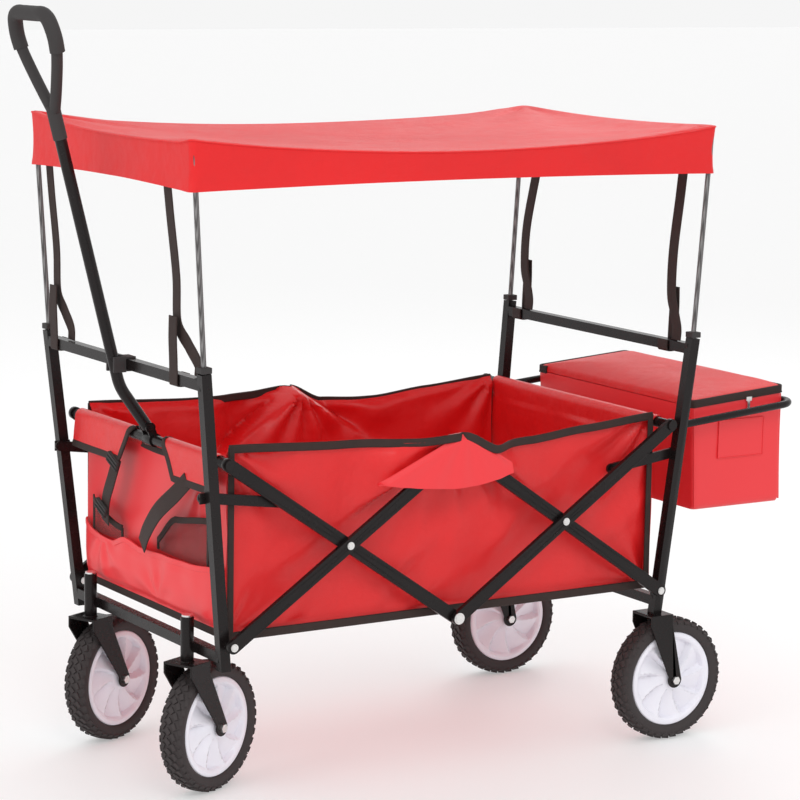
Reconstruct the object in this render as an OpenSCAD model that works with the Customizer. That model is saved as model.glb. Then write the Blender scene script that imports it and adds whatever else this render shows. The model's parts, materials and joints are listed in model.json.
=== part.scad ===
// Folding pull wagon with a canopy, a rear cooler bag and swivelling front wheels.
// Millimetres. +X is forward, towards the pull handle, +Y is the left side, +Z is up.
// The origin is on the floor, at the middle of the wagon's overall length and width.

/* [Frame] */
// Distance between the bottom rivets of the front and rear posts
wheelbase_span = 782; // [700:1:860]
// Height of the bottom rivets above the floor
pivot_z = 250.4; // [248:0.1:256]
// Height of the crossing of each pair of side bars above the floor
crossing_z = 383.4; // [365:0.1:400]
// Length of a side bar from its crossing to the top rail
rail_reach = 243; // [236:0.5:248]
// Distance between the left and right posts at their feet, centre to centre
post_gap_foot = 482; // [460:1:540]
// Height of the top of the posts
post_top_z = 656.4; // [640:0.1:700]
// Lean of the posts away from the tub, along the length, in degrees
post_lean_x = 5.83; // [5.4:0.01:6.4]
// Lean of the posts away from the tub, sideways, in degrees
post_lean_y = 2.4; // [2:0.1:2.6]
// Width of the square post tube
post_size = 16; // [15:0.5:18]
// Wall of all square and flat steel tube
tube_wall = 1.2; // [1:0.1:1.6]
// Height of the upper cross bars
upper_bar_z = 639.6; // [625:0.1:640]
// Height of the lower cross tubes
lower_tube_z = 231; // [228:0.5:234]

/* [Side bars] */
// Depth of a side bar, seen from the side
bar_depth = 20; // [16:0.5:22]
// Thickness of a side bar, across the wagon
bar_thickness = 8; // [6:0.5:9]
// Diameter of the top rails
rail_d = 16; // [14:0.5:18]
// Distance of the short link's rivet along a side bar, from the crossing
link_reach = 125.5; // [115:0.5:135]
// Height of the short link's rivet on the post
link_post_z = 471.8; // [462:0.1:480]
// Depth of a short link, seen from the side
link_depth = 16; // [12:0.5:18]
// Thickness of a short link
link_thickness = 5; // [3:0.5:6]
// Diameter of the rivets
rivet_d = 6; // [5:0.5:8]
// Diameter of the rivet heads
rivet_head_d = 12; // [9:0.5:14]
// Diameter of the big rivet heads at the bottom centre
centre_head_d = 18; // [14:0.5:20]

/* [Wheels] */
// Diameter of the tyres
tyre_d = 200; // [180:1:206]
// Width of the tyres
tyre_w = 40; // [32:1:44]
// Diameter of the white wheel discs
disc_d = 154; // [130:1:160]
// Width of the wheel discs at the rim
disc_w = 34; // [28:1:38]
// Diameter of the axle bolts
axle_d = 8; // [6:0.5:10]
// Distance of the rear axle behind the foot of the rear posts
rear_axle_back = 28.8; // [20:0.1:34]
// Distance of the swivel axis in front of the foot of the front posts
swivel_front = 20.2; // [19:0.1:26]
// Distance of a swivel axis from the wagon's centre plane
swivel_y = 163.7; // [158:0.1:175]
// Trail of the swivelling wheels
trail = 52.9; // [40:0.1:56]
// Angle the swivelling wheels are turned to, in degrees
swivel_rest = 24; // [0:1:45]
// Diameter of the swivel tubes
swivel_tube_d = 20; // [18:0.5:24]
// Height of the top of the swivel tubes
swivel_top_z = 277.7; // [265:0.1:285]
// Height of the top of the fork plates
fork_top_z = 210; // [206:0.5:211]
// Thickness of the fork plates
fork_plate = 4; // [3:0.5:5]
// Thickness of the fork legs
fork_leg = 3; // [2:0.5:4]

/* [Pull handle] */
// Diameter of the handle tube
handle_d = 18; // [16:0.5:20]
// Sideways place of the handle
handle_y = 12; // [0:1:20]
// Height of the bend above the top rail
bend_rise = 84; // [76:0.5:90]
// Length of the straight shaft above the bend
shaft_len = 420; // [340:1:470]
// Forward lean of the parked shaft, in degrees
handle_lean = 14.5; // [12:0.5:16]
// Overall height of the hand loop, along the shaft
loop_h = 166; // [130:1:170]
// Overall width of the hand loop
loop_w = 148; // [130:1:170]
// Length of the straight grip across the top of the loop
grip_len = 104; // [90:1:118]
// Diameter of the plastic grip
grip_d = 22; // [20:0.5:26]

/* [Tub] */
// Distance between the insides of the tub's side walls
tub_inner_w = 464; // [440:1:466]
// Thickness of the tub's fabric walls
cloth = 2; // [1.5:0.5:2.5]
// Height of the underside of the tub
tub_bottom_z = 252; // [248:1:256]
// Height of the top edge of the tub's side walls
tub_top_z = 537; // [525:1:545]
// Width of the half-round flap that covers a top-centre pivot
flap_w = 200; // [160:1:220]
// Length that the flap hangs down outside
flap_drop = 84; // [60:1:90]
// Height of the top of the front pouch
pouch_top_z = 380; // [360:1:384]
// Depth of the front pouch, along the wagon
pouch_depth = 18; // [12:0.5:18]

/* [Canopy] */
// Height of the canopy's lower edge
canopy_low_z = 918; // [890:1:930]
// Height of the canopy's top
canopy_top_z = 995.5; // [985:0.5:1010]
// Overall length of the canopy
canopy_l = 934; // [930:1:960]
// Overall width of the canopy
canopy_w = 539.6; // [538:0.2:560]
// Thickness of the canopy's fabric
canopy_cloth = 1.5; // [1:0.1:2]
// Diameter of the canopy rods
rod_d = 8; // [6:0.5:9]
// Width of the canopy's straps
strap_w = 26; // [20:1:32]

/* [Rear bag] */
// Length of the bag, along the wagon
bag_l = 186; // [170:1:210]
// Width of the bag, across the wagon
bag_w = 440; // [400:1:446]
// Height of the bag's body
bag_h = 172; // [150:1:185]
// Height of the crowned lid
lid_h = 30; // [20:1:34]
// Height of the top edge of the bag's body
bag_rim_z = 542; // [530:1:552]
// Gap between the bag and the rear posts
bag_gap = 49; // [44:1:60]
// Diameter of the hoop that carries the bag
hoop_d = 12; // [10:0.5:13]

/* [Hidden] */

// Running clearance, on the radius, of a rivet or an axle in its hole
fit = 0.06;
// Gap between pieces that pass beside each other
side_gap = 0.4;
// Gap between a piece of cloth and the tube that it wraps
cloth_gap = 0.6;
// Facets of plain round parts
$fn = 48;

// side linkage, measured from the middle between the posts
half_span = wheelbase_span / 2;
crossing_x = half_span / 2;
crossing_rise = crossing_z - pivot_z;
bar_half = norm([crossing_x, crossing_rise]);
bar_angle = atan2(crossing_rise, crossing_x);
centre_top_z = pivot_z + 2 * crossing_rise;
rail_x = crossing_x + rail_reach * cos(bar_angle);
rail_z = crossing_z + rail_reach * sin(bar_angle);
bar_end = bar_depth / 2;

// posts
post_foot_x = half_span + 2.5;
post_foot_y = post_gap_foot / 2;
post_foot_z = fork_top_z;
lean_x = tan(post_lean_x);
lean_y = tan(post_lean_y);
function post_x(z) = post_foot_x + (z - post_foot_z) * lean_x;
function post_y(z) = post_foot_y + (z - post_foot_z) * lean_y;

// layers across the wagon: post, inner bars (a and d), outer bars (b and c)
inner_bar_y = post_y(pivot_z) + post_size / 2 + side_gap + 0.6;
outer_bar_y = inner_bar_y + bar_thickness + side_gap;
outer_face_y = outer_bar_y + bar_thickness;
head_h = 2.6;
link_y = post_y(link_post_z) - post_size / 2 - link_thickness - side_gap - 0.6;
link_post_x = post_x(link_post_z) + post_size / 2 + 2;
link_bar_x = crossing_x + link_reach * cos(bar_angle);
link_bar_z = crossing_z + link_reach * sin(bar_angle);

// wheels
axle_z = tyre_d / 2;
rear_axle_x = -(post_foot_x + rear_axle_back);
rear_wheel_y = post_foot_y - 3.5;
swivel_x = post_foot_x + swivel_front;
fork_in = tyre_w / 2 + 3.5;
bearing_h = 2;

// handle, as points (x, z) in its own plane
bolt_x = rail_x + 7.5;
bolt_z = rail_z + 19.6;
bend_x = rail_x + 54;
bend_z = rail_z + bend_rise;
lean = [sin(handle_lean), cos(handle_lean)];
shaft_top_x = bend_x + shaft_len * lean[0];
shaft_top_z = bend_z + shaft_len * lean[1];
grip_x = shaft_top_x + (loop_h - grip_d / 2) * lean[0];
grip_z = shaft_top_z + (loop_h - grip_d / 2) * lean[1];
collar_r = rail_d / 2 + 2.5;
// swelling of the tube where it bends
elbow = 0.3;

// tub and its front panel
wall_y = tub_inner_w / 2;
rear_wall_x = -(rail_x - 13);
front_wall_x = rail_x - 14;
panel_half_w = wall_y - 1;
sleeve_r = rail_d / 2 + cloth_gap + cloth;
sleeve_gap_low = handle_y - 52;
sleeve_gap_high = handle_y + 54;
flap_y = outer_face_y + head_h + 0.8;
floor_z = tub_bottom_z + 1;
floor_t = 3;

// canopy and its rods
rod_top_z = canopy_top_z - 9;
rod_lean_x = 0.064;
rod_lean_y = 0.012;
rod_in = 45;
function rod_x(z) = post_x(post_top_z) + (z - post_top_z) * rod_lean_x;
function rod_y(z) = post_y(post_top_z) + (z - post_top_z) * rod_lean_y;

// rear bag, hung inside its hoop
bag_front_x = -(post_x(bag_rim_z) + bag_gap - 2);
bag_rear_x = bag_front_x - bag_l;
hoop_gap = 3;
hoop_side_gap = 14;
hoop_y = bag_w / 2 + hoop_side_gap + hoop_d / 2;
hoop_rear_x = bag_rear_x - hoop_gap - hoop_d / 2;
hoop_front_x = -(post_x(bag_rim_z) - 6);
hoop_bend = 26;
hoop_low_z = bag_rim_z - 30;
hoop_slope = 5;
zip_x = bag_front_x - 0.64 * bag_l;

// the overall length is centred on the origin
front_most = grip_x + grip_d / 2;
rear_most = hoop_rear_x - hoop_d / 2;
shift_x = -(front_most + rear_most) / 2;

BLACK = [0.09, 0.08, 0.08];
STEEL = [0.78, 0.78, 0.8];
GREY = [0.42, 0.42, 0.43];
RED = [0.86, 0.1, 0.12];
WEBBING = [0.16, 0.13, 0.13];
WHITE = [0.92, 0.92, 0.95];
RUBBER = [0.15, 0.13, 0.12];

// ---- shapes that repeat ----

// everything is drawn from the middle between the posts and moved once
module place() translate([shift_x, 0, 0]) children();

// copies on the left and the right
module both_sides() {
    children();
    mirror([0, 1, 0]) children();
}

// square tube between two points, its sides kept square to the wagon
module square_tube(from, to, size, wall) {
    d = to - from;
    turn = atan2(d[1], d[0]);
    translate(from)
        rotate([0, acos(d[2] / norm(d)), turn])
            rotate([0, 0, -turn])
                linear_extrude(norm(d))
                    difference() {
                        square(size, center = true);
                        square(size - 2 * wall, center = true);
                    }
}

// the same tube without its hollow, to cut what meets it
module square_bar(from, to, size) {
    d = to - from;
    turn = atan2(d[1], d[0]);
    translate(from)
        rotate([0, acos(d[2] / norm(d)), turn])
            rotate([0, 0, -turn])
                linear_extrude(norm(d)) square(size, center = true);
}

// round bar between two points
module round_bar(from, to, r) {
    d = to - from;
    translate(from)
        rotate([0, acos(d[2] / norm(d)), atan2(d[1], d[0])])
            cylinder(r = r, h = norm(d));
}

// round hole or pin across the wagon, from y0 to y1
module cross_pin(x, z, r, y0, y1) translate([x, y0, z]) rotate([-90, 0, 0]) cylinder(r = r, h = y1 - y0);

// flat steel tube with round ends, in the plane of the side linkage
module flat_bar(x0, z0, x1, z1, y0, depth, thickness) {
    angle = atan2(z1 - z0, x1 - x0);
    long = norm([x1 - x0, z1 - z0]);
    translate([x0, y0, z0])
        rotate([0, -angle, 0])
            rotate([90, 0, 0])
                translate([0, 0, -thickness])
                    linear_extrude(thickness) {
                        translate([0, -depth / 2]) square([long, depth]);
                        circle(d = depth);
                        translate([long, 0]) circle(d = depth);
                    }
}

// hollow side bar, with a bore at each place listed as [x, z]
module side_bar(x0, z0, x1, z1, y0, bores) {
    angle = atan2(z1 - z0, x1 - x0);
    long = norm([x1 - x0, z1 - z0]);
    slot = 14;
    difference() {
        flat_bar(x0, z0, x1, z1, y0, bar_depth, bar_thickness);
        // hollow runs, closed round each bore by the pressed-flat metal
        for (i = [0 : len(bores) - 2]) {
            a = norm(bores[i] - [x0, z0]) + slot;
            b = norm(bores[i + 1] - [x0, z0]) - slot;
            translate([x0, y0 + tube_wall, z0])
                rotate([0, -angle, 0])
                    translate([a, 0, -bar_depth / 2 + tube_wall])
                        cube([b - a, bar_thickness - 2 * tube_wall, bar_depth - 2 * tube_wall]);
        }
        for (p = bores)
            cross_pin(p[0], p[1], rivet_d / 2 + fit, y0 - 1, y0 + bar_thickness + 1);
    }
}

// rivet with a domed head on each end
module rivet(x, z, y0, y1, head) {
    cross_pin(x, z, rivet_d / 2, y0, y1);
    cross_pin(x, z, head / 2, y1, y1 + head_h * 0.6);
    cross_pin(x, z, head / 2 * 0.72, y1 + head_h * 0.6, y1 + head_h);
    cross_pin(x, z, head / 2, y0 - head_h * 0.6, y0);
}

// wheel parts stand on an axle along Y at the origin
module tyre() {
    r_in = disc_d / 2 + 0.2;
    r_out = tyre_d / 2;
    w = tyre_w / 2;
    rotate([90, 0, 0])
        rotate_extrude($fn = 96)
            polygon([
                [r_in, -w + 5], [r_in + 9, -w], [r_out - 9, -w], [r_out - 2, -w + 7], [r_out, -w + 13],
                [r_out, w - 13], [r_out - 2, w - 7], [r_out - 9, w], [r_in + 9, w], [r_in, w - 5]
            ]);
}

module wheel_disc() {
    hub_r = 15;
    bore_r = axle_d / 2 + fit;
    rim_r = disc_d / 2;
    half = disc_w / 2;
    rotate([90, 0, 0])
        rotate_extrude($fn = 96)
            polygon([
                [bore_r, -half - 2], [hub_r, -half - 2], [hub_r + 3, -half + 5], [rim_r - 12, -half + 6],
                [rim_r - 6, -half], [rim_r, -half], [rim_r, half], [rim_r - 6, half],
                [rim_r - 12, half - 6], [hub_r + 3, half - 5], [hub_r, half + 2], [bore_r, half + 2]
            ]);
}

// axle bolt with a head and a nut outside the fork legs
module axle_bolt() {
    reach = fork_in + fork_leg;
    rotate([90, 0, 0]) {
        cylinder(r = axle_d / 2, h = 2 * reach, center = true);
        for (s = [-1, 1])
            translate([0, 0, s * (reach + 2.5)]) cylinder(r = 7, h = 5, center = true, $fn = 6);
    }
}

// fork: a plate on top and two legs slanting back to the axle, which lies at [-back, 0, axle_z]
module fork(back, plate_l = 43) {
    foot_r = 13;
    plate_w = 2 * (fork_in + fork_leg);
    top = fork_top_z - fork_plate;
    translate([-plate_l / 2, -plate_w / 2, top]) cube([plate_l, plate_w, fork_plate]);
    for (s = [-1, 1])
        translate([0, s > 0 ? fork_in : -fork_in - fork_leg, 0])
            difference() {
                translate([0, fork_leg, 0])
                    rotate([90, 0, 0])
                        linear_extrude(fork_leg) {
                            polygon([
                                [plate_l / 2, top], [plate_l / 2, top - 14],
                                [-back + foot_r * 0.93, axle_z + foot_r * 0.36],
                                [-back, axle_z],
                                [-back - foot_r * 0.93, axle_z + foot_r * 0.36],
                                [-plate_l / 2, top - 14], [-plate_l / 2, top]
                            ]);
                            translate([-back, axle_z]) circle(r = foot_r);
                        }
                cross_pin(-back, axle_z, axle_d / 2 + fit, -1, fork_leg + 1);
            }
}

// ---- rear and front frames ----

// solid core of a post, for the left side of the front frame
module post_core(front) {
    s = front ? 1 : -1;
    square_bar(
        [s * post_x(post_foot_z - 20), post_y(post_foot_z - 20), post_foot_z - 20],
        [s * post_x(post_top_z), post_y(post_top_z), post_top_z], post_size
    );
}

// left post of a frame, with the tab that carries the short link
module post(front) {
    s = front ? 1 : -1;
    tab_y = link_y + link_thickness + side_gap;
    tab_t = post_y(link_post_z) - post_size / 2 + 1.5 - tab_y;
    color(BLACK) difference() {
        union() {
            difference() {
                square_tube(
                    [s * post_x(post_foot_z - 20), post_y(post_foot_z - 20), post_foot_z - 20],
                    [s * post_x(post_top_z), post_y(post_top_z), post_top_z], post_size, tube_wall
                );
                translate([-2 * half_span, 0, post_foot_z - 60]) cube([4 * half_span, 2 * wall_y, 60]);
            }
            translate([s * (link_post_x - 6) - 13, tab_y, link_post_z - link_depth / 2])
                cube([26, tab_t, link_depth]);
        }
        cross_pin(s * link_post_x, link_post_z, rivet_d / 2 + fit, tab_y - 1, tab_y + tab_t + 1);
        cross_pin(s * half_span, pivot_z, rivet_d / 2 + fit, post_foot_y - 20, inner_bar_y + 1);
    }
}

// plastic cap on a post, with the hole that the canopy rod slides through
module post_cap(front) {
    s = front ? 1 : -1;
    color(BLACK) translate([s * post_x(post_top_z + 1), post_y(post_top_z + 1), post_top_z + 1.1])
        difference() {
            linear_extrude(9) square(post_size + 2, center = true);
            cylinder(r = rod_d / 2 + 0.6, h = 40, center = true);
        }
}

module canopy_rod(front) {
    s = front ? 1 : -1;
    low = post_top_z - rod_in;
    color(GREY) round_bar(
        [s * rod_x(low), rod_y(low), low], [s * rod_x(rod_top_z), rod_y(rod_top_z), rod_top_z], rod_d / 2
    );
}

// square cross bar between the posts of a frame, coped to their faces
module cross_bar(front, z, size) {
    s = front ? 1 : -1;
    color(BLACK) difference() {
        square_tube([s * post_x(z), -post_y(z), z], [s * post_x(z), post_y(z), z], size, tube_wall);
        both_sides() post_core(front);
    }
}

// rivets that hold the outer ends of the side bars to a post
module frame_rivet(front) {
    s = front ? 1 : -1;
    top = front ? outer_face_y : inner_bar_y + bar_thickness;
    bottom = post_y(pivot_z) - post_size / 2;
    color(STEEL) rivet(s * half_span, pivot_z, bottom - side_gap, top + 0.2, rivet_head_d);
}

module frame_strap(front, y) {
    s = front ? 1 : -1;
    t = 2;
    low = upper_bar_z + post_size / 2 + 0.3;
    high = canopy_low_z + 36;
    x0 = s * post_x(upper_bar_z);
    x1 = s * (canopy_l / 2 - 14);
    color(WEBBING) hull() {
        translate([x0 - t / 2, y - strap_w / 2, low]) cube([t, strap_w, 1]);
        translate([x1 - t / 2, y - strap_w / 2, high]) cube([t, strap_w, 1]);
    }
}

// swivel tube and its corner braces, on the front lower tube
module swivel_tube() {
    difference() {
        union() {
            translate([swivel_x, swivel_y, fork_top_z + bearing_h])
                cylinder(d = swivel_tube_d, h = swivel_top_z - fork_top_z - bearing_h);
            translate([post_foot_x, swivel_y - 9, lower_tube_z - 7])
                cube([swivel_front, 18, 14]);
        }
        translate([swivel_x, swivel_y, 0]) cylinder(r = 5 + fit, h = 400);
    }
}

module lower_tube(front) {
    z = lower_tube_z;
    color(BLACK) difference() {
        union() {
            cross_bar(front, z, post_size);
            if (front) both_sides() swivel_tube();
        }
        if (front) both_sides() translate([swivel_x, swivel_y, 0]) cylinder(r = 5 + fit, h = 400);
    }
}

module handle_clip() {
    jaw = 4;
    h = 24;
    face_x = post_x(upper_bar_z) + post_size / 2;
    inner = handle_d / 2 + 0.3;
    base_t = 1.6;
    reach = 21;
    color(BLACK) translate([face_x, handle_y, upper_bar_z - h / 2]) {
        translate([0, -inner - jaw, 0]) cube([base_t, 2 * (inner + jaw), h]);
        for (s = [-1, 1])
            translate([0, s > 0 ? inner : -inner - jaw, 0]) cube([reach, jaw, h]);
        // saddle over and under the cross bar
        for (z = [h / 2 - post_size / 2 - 3, h / 2 + post_size / 2])
            translate([-post_size, -inner - jaw, z]) cube([post_size + 1, 2 * (inner + jaw), 3]);
    }
}

// ---- side linkage: a and b cross at the rear, c and d at the front ----

module bar_a()
    color(BLACK) side_bar(-half_span, pivot_z, 0, centre_top_z, inner_bar_y,
        [[-half_span, pivot_z], [-crossing_x, crossing_z], [0, centre_top_z]]);

module bar_b()
    color(BLACK) side_bar(0, pivot_z, -rail_x, rail_z, outer_bar_y,
        [[0, pivot_z], [-crossing_x, crossing_z], [-rail_x, rail_z]]);

module bar_c()
    color(BLACK) side_bar(half_span, pivot_z, 0, centre_top_z, outer_bar_y,
        [[half_span, pivot_z], [crossing_x, crossing_z], [0, centre_top_z]]);

module bar_d()
    color(BLACK) side_bar(0, pivot_z, rail_x, rail_z, inner_bar_y,
        [[0, pivot_z], [crossing_x, crossing_z], [rail_x, rail_z]]);

// top rail with a stud through the bars at each end
module top_rail(front) {
    s = front ? 1 : -1;
    stop_y = (front ? inner_bar_y : outer_bar_y) - 0.1;
    color(BLACK) difference() {
        cross_pin(s * rail_x, rail_z, rail_d / 2, -stop_y, stop_y);
        cross_pin(s * rail_x, rail_z, rail_d / 2 - tube_wall, -stop_y + 12, stop_y - 12);
    }
    color(BLACK) both_sides() {
        cross_pin(s * rail_x, rail_z, rivet_d / 2, stop_y - 1, stop_y + bar_thickness + 0.2);
        cross_pin(s * rail_x, rail_z, rail_d / 2, stop_y + bar_thickness + 0.2, stop_y + bar_thickness + 3);
    }
}

module pivot_rivets(x_cross, head) {
    color(STEEL) both_sides() {
        rivet(x_cross, crossing_z, inner_bar_y - 0.1, outer_face_y + 0.1, rivet_head_d);
        rivet(0, head == centre_head_d ? pivot_z : centre_top_z, inner_bar_y - 0.1, outer_face_y + 0.1, head);
    }
}

// short link from the post to a side bar, with its rivets
module link(front) {
    s = front ? 1 : -1;
    y0 = link_y;
    color(BLACK) flat_bar(s * link_post_x, link_post_z, s * link_bar_x, link_bar_z, y0, link_depth, link_thickness);
    color(STEEL) {
        cross_pin(s * link_post_x, link_post_z, rivet_d / 2, y0 + 1, y0 + link_thickness + side_gap + 2);
        // stud from the link to the inner face of its bar
        cross_pin(s * link_bar_x, link_bar_z, rivet_d / 2 + 1, y0 + 1, (front ? inner_bar_y : outer_bar_y) - side_gap);
        cross_pin(s * link_bar_x, link_bar_z, rivet_head_d / 2, y0 - 1.6, y0 + 1);
        cross_pin(s * link_post_x, link_post_z, rivet_head_d / 2, y0 - 1.6, y0 + 1);
    }
}

// ---- tub, front panel and pouch ----

// half-round flap over a top-centre pivot, outside the bars
module flap() {
    translate([0, flap_y, centre_top_z + 8])
        rotate([-90, 0, 0])
            linear_extrude(1.5)
                intersection() {
                    scale([flap_w / 2 / flap_drop, 1]) circle(r = flap_drop);
                    translate([-flap_w, 0]) square([2 * flap_w, 2 * flap_drop]);
                }
    translate([-30, wall_y + cloth - 0.5, centre_top_z + 13])
        cube([60, flap_y - wall_y - cloth + 2, 1.5]);
    translate([-30, flap_y, centre_top_z + 6]) cube([60, 1.5, 8]);
}

module side_wall()
    color(RED) {
        translate([rear_wall_x + cloth + 0.5, wall_y, tub_bottom_z])
            cube([front_wall_x - rear_wall_x - cloth - 1, cloth, tub_top_z - tub_bottom_z]);
        flap();
    }

module rear_wall()
    color(RED) {
        translate([rear_wall_x, -panel_half_w, tub_bottom_z]) cube([cloth, 2 * panel_half_w, rail_z - tub_bottom_z]);
        difference() {
            translate([rear_wall_x - 13, -panel_half_w, rail_z - 14]) cube([14, 2 * panel_half_w, 14 + sleeve_r]);
            cross_pin(-rail_x, rail_z, rail_d / 2 + cloth_gap, -wall_y - 1, wall_y + 1);
            translate([rear_wall_x - 30, -wall_y - 1, rail_z - 20]) cube([17, 2 * wall_y + 2, 60]);
        }
    }

module floor_panel()
    color(RED) translate([rear_wall_x + cloth + 0.5, -wall_y + 0.5, floor_z])
        cube([front_wall_x - rear_wall_x - cloth - 1, 2 * wall_y - 1, floor_t]);

// front wall with the two sleeves that wrap the top rail on either side of the handle
module front_wall()
    color(RED) {
        translate([front_wall_x, -panel_half_w, tub_bottom_z]) cube([cloth, 2 * panel_half_w, rail_z - 18 - tub_bottom_z]);
        for (span = [[-panel_half_w, sleeve_gap_low], [sleeve_gap_high, panel_half_w]]) {
            difference() {
                union() {
                    cross_pin(rail_x, rail_z, sleeve_r, span[0], span[1]);
                    translate([front_wall_x, span[0], rail_z - 20]) cube([cloth, span[1] - span[0], 24]);
                    translate([front_wall_x, span[0], rail_z + 2]) cube([10, span[1] - span[0], cloth]);
                    translate([rail_x + sleeve_r - cloth, span[0], rail_z - 42]) cube([cloth, span[1] - span[0], 42]);
                }
                cross_pin(rail_x, rail_z, rail_d / 2 + cloth_gap, span[0] - 1, span[1] + 1);
            }
        }
    }

// open-topped pouch on the front wall
module front_pouch() {
    x0 = front_wall_x + cloth;
    low = swivel_top_z + 4;
    w = panel_half_w - 8;
    color(RED) difference() {
        translate([x0, -w, low]) cube([pouch_depth, 2 * w, pouch_top_z - low]);
        translate([x0 + cloth, -w + cloth, low + cloth]) cube([pouch_depth - 2 * cloth, 2 * w - 2 * cloth, 200]);
    }
}

// ---- canopy ----

module canopy()
    color(RED) difference() {
        translate([-canopy_l / 2, -canopy_w / 2, canopy_low_z]) cube([canopy_l, canopy_w, canopy_top_z - canopy_low_z]);
        translate([-canopy_l / 2 + canopy_cloth, -canopy_w / 2 + canopy_cloth, canopy_low_z - 1])
            cube([canopy_l - 2 * canopy_cloth, canopy_w - 2 * canopy_cloth, canopy_top_z - canopy_low_z + 1 - canopy_cloth]);
    }

// ---- rear bag ----

module bag_hoop() {
    r = hoop_d / 2;
    straight = hoop_y - hoop_bend;
    color(BLACK) translate([hoop_front_x, 0, hoop_low_z]) rotate([0, hoop_slope, 0]) translate([-hoop_front_x, 0, 0]) {
        both_sides() {
            round_bar([hoop_rear_x + hoop_bend, hoop_y, 0], [hoop_front_x, hoop_y, 0], r);
            translate([hoop_rear_x + hoop_bend, straight, 0])
                rotate([0, 0, 90]) rotate_extrude(angle = 90) translate([hoop_bend, 0]) circle(r = r);
        }
        round_bar([hoop_rear_x, -straight, 0], [hoop_rear_x, straight, 0], r);
    }
}

// hollow body of the bag, wider at its rim than at its floor
module bag_body() {
    taper = 12;
    wall = 3;
    color(RED) difference() {
        translate([bag_rear_x, -bag_w / 2, bag_rim_z - bag_h]) cube([bag_l, bag_w, bag_h]);
        translate([bag_rear_x + wall, -bag_w / 2 + wall, bag_rim_z - bag_h + wall])
            cube([bag_l - 2 * wall, bag_w - 2 * wall, bag_h]);
    }
}

module bag_lid() {
    gap = 0.5;
    color(RED) difference() {
        translate([bag_rear_x, -bag_w / 2, bag_rim_z + gap])
            rotate([90, 0, 0]) mirror([0, 0, 1])
                linear_extrude(bag_w)
                    polygon([[0, 0], [bag_l, 0], [bag_l, 10], [bag_l * 0.72, lid_h], [bag_l * 0.28, lid_h], [0, 10]]);
        translate([bag_rear_x + 5, -bag_w / 2 + 5, bag_rim_z + gap - 1])
            cube([bag_l - 10, bag_w - 10, 8]);
    }
}

module zip_slider()
    color(STEEL) translate([zip_x, bag_w / 2 + 0.4, bag_rim_z - 3]) {
        cube([11, 2.2, 7]);
        translate([3, 0, -24]) cube([5, 1.4, 25]);
        translate([3, -0.3, -6]) cube([5, 1.4, 5]);
    }

// ---- pull handle ----

// collar that turns on the top rail, with a fork for the handle's bolt
module handle_bracket() {
    w = 26;
    cheek = 3;
    inside = handle_d / 2 + 0.4;
    color(BLACK) difference() {
        union() {
            cross_pin(rail_x, rail_z, collar_r, handle_y - w / 2, handle_y + w / 2);
            for (s = [-1, 1])
                translate([0, handle_y + (s > 0 ? inside : -inside - cheek), 0]) {
                    cross_pin(bolt_x, bolt_z, 8, 0, cheek);
                    translate([rail_x, 0, rail_z])
                        rotate([0, atan2(bolt_x - rail_x, bolt_z - rail_z), 0])
                            translate([-6.5, 0, 0])
                                cube([13, cheek, norm([bolt_x - rail_x, bolt_z - rail_z])]);
                }
        }
        cross_pin(rail_x, rail_z, rail_d / 2 + fit, handle_y - w, handle_y + w);
    }
    color(STEEL) for (s = [-1, 1])
        translate([0, handle_y + (s > 0 ? inside + cheek - 0.5 : -inside - cheek - 2), 0])
            cross_pin(bolt_x, bolt_z, 5, 0, 2.5);
    color(STEEL) cross_pin(bolt_x, bolt_z, 3, handle_y - inside - 1, handle_y + inside + 1);
}

module handle_shaft() {
    r = handle_d / 2;
    foot = [bolt_x, handle_y, bolt_z];
    bend = [bend_x, handle_y, bend_z];
    top = [shaft_top_x, handle_y, shaft_top_z];
    color(BLACK) difference() {
        union() {
            round_bar(foot, bend, r);
            translate(bend) sphere(r = r + elbow);
            round_bar(bend, top, r);
            cross_pin(bolt_x, bolt_z, 8, handle_y - r - 0.2, handle_y + r + 0.2);
        }
        round_bar(bend, top + [0, 0, 5], r - 1.5);
        cross_pin(bolt_x, bolt_z, 3 + fit, handle_y - 20, handle_y + 20);
    }
}

// closed hand loop: two legs that spread from the shaft and a straight grip across the top
module handle_grip() {
    r = handle_d / 2;
    side = loop_w / 2 - r;
    high = loop_h - grip_d / 2;
    path = [[7, 4], [side * 0.62, high * 0.38], [side, high * 0.62], [side, high * 0.8], [grip_len / 2, high]];
    color(BLACK) translate([shaft_top_x, handle_y, shaft_top_z]) rotate([0, handle_lean, 0]) {
        cylinder(r = r, h = 12);
        for (s = [-1, 1])
            for (i = [0 : len(path) - 2]) {
                a = [0, s * path[i][0], path[i][1]];
                b = [0, s * path[i + 1][0], path[i + 1][1]];
                round_bar(a, b, r - 1);
                translate(b) sphere(r = r - 1 + elbow);
            }
        translate([0, -grip_len / 2, high]) rotate([-90, 0, 0]) cylinder(r = grip_d / 2, h = grip_len);
    }
}

// ---- wheels ----

module at_rear_wheel(left) translate([rear_axle_x, (left ? 1 : -1) * rear_wheel_y, axle_z]) children();

module at_swivel(left)
    translate([swivel_x, (left ? 1 : -1) * swivel_y, 0]) rotate([0, 0, swivel_rest]) children();

module at_front_wheel(left) at_swivel(left) translate([-trail, 0, axle_z]) children();

module rear_fork(left)
    color(BLACK) translate([-post_foot_x, (left ? 1 : -1) * rear_wheel_y, 0]) fork(rear_axle_back);

module caster_fork(left)
    color(BLACK) at_swivel(left) difference() {
        union() {
            fork(trail, 46);
            cylinder(r = 11, h = fork_top_z + bearing_h - 0.3);
        }
        translate([0, 0, -1]) cylinder(r = 12, h = fork_top_z - fork_plate + 1);
        cylinder(r = 5 + fit, h = 400);
    }

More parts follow.
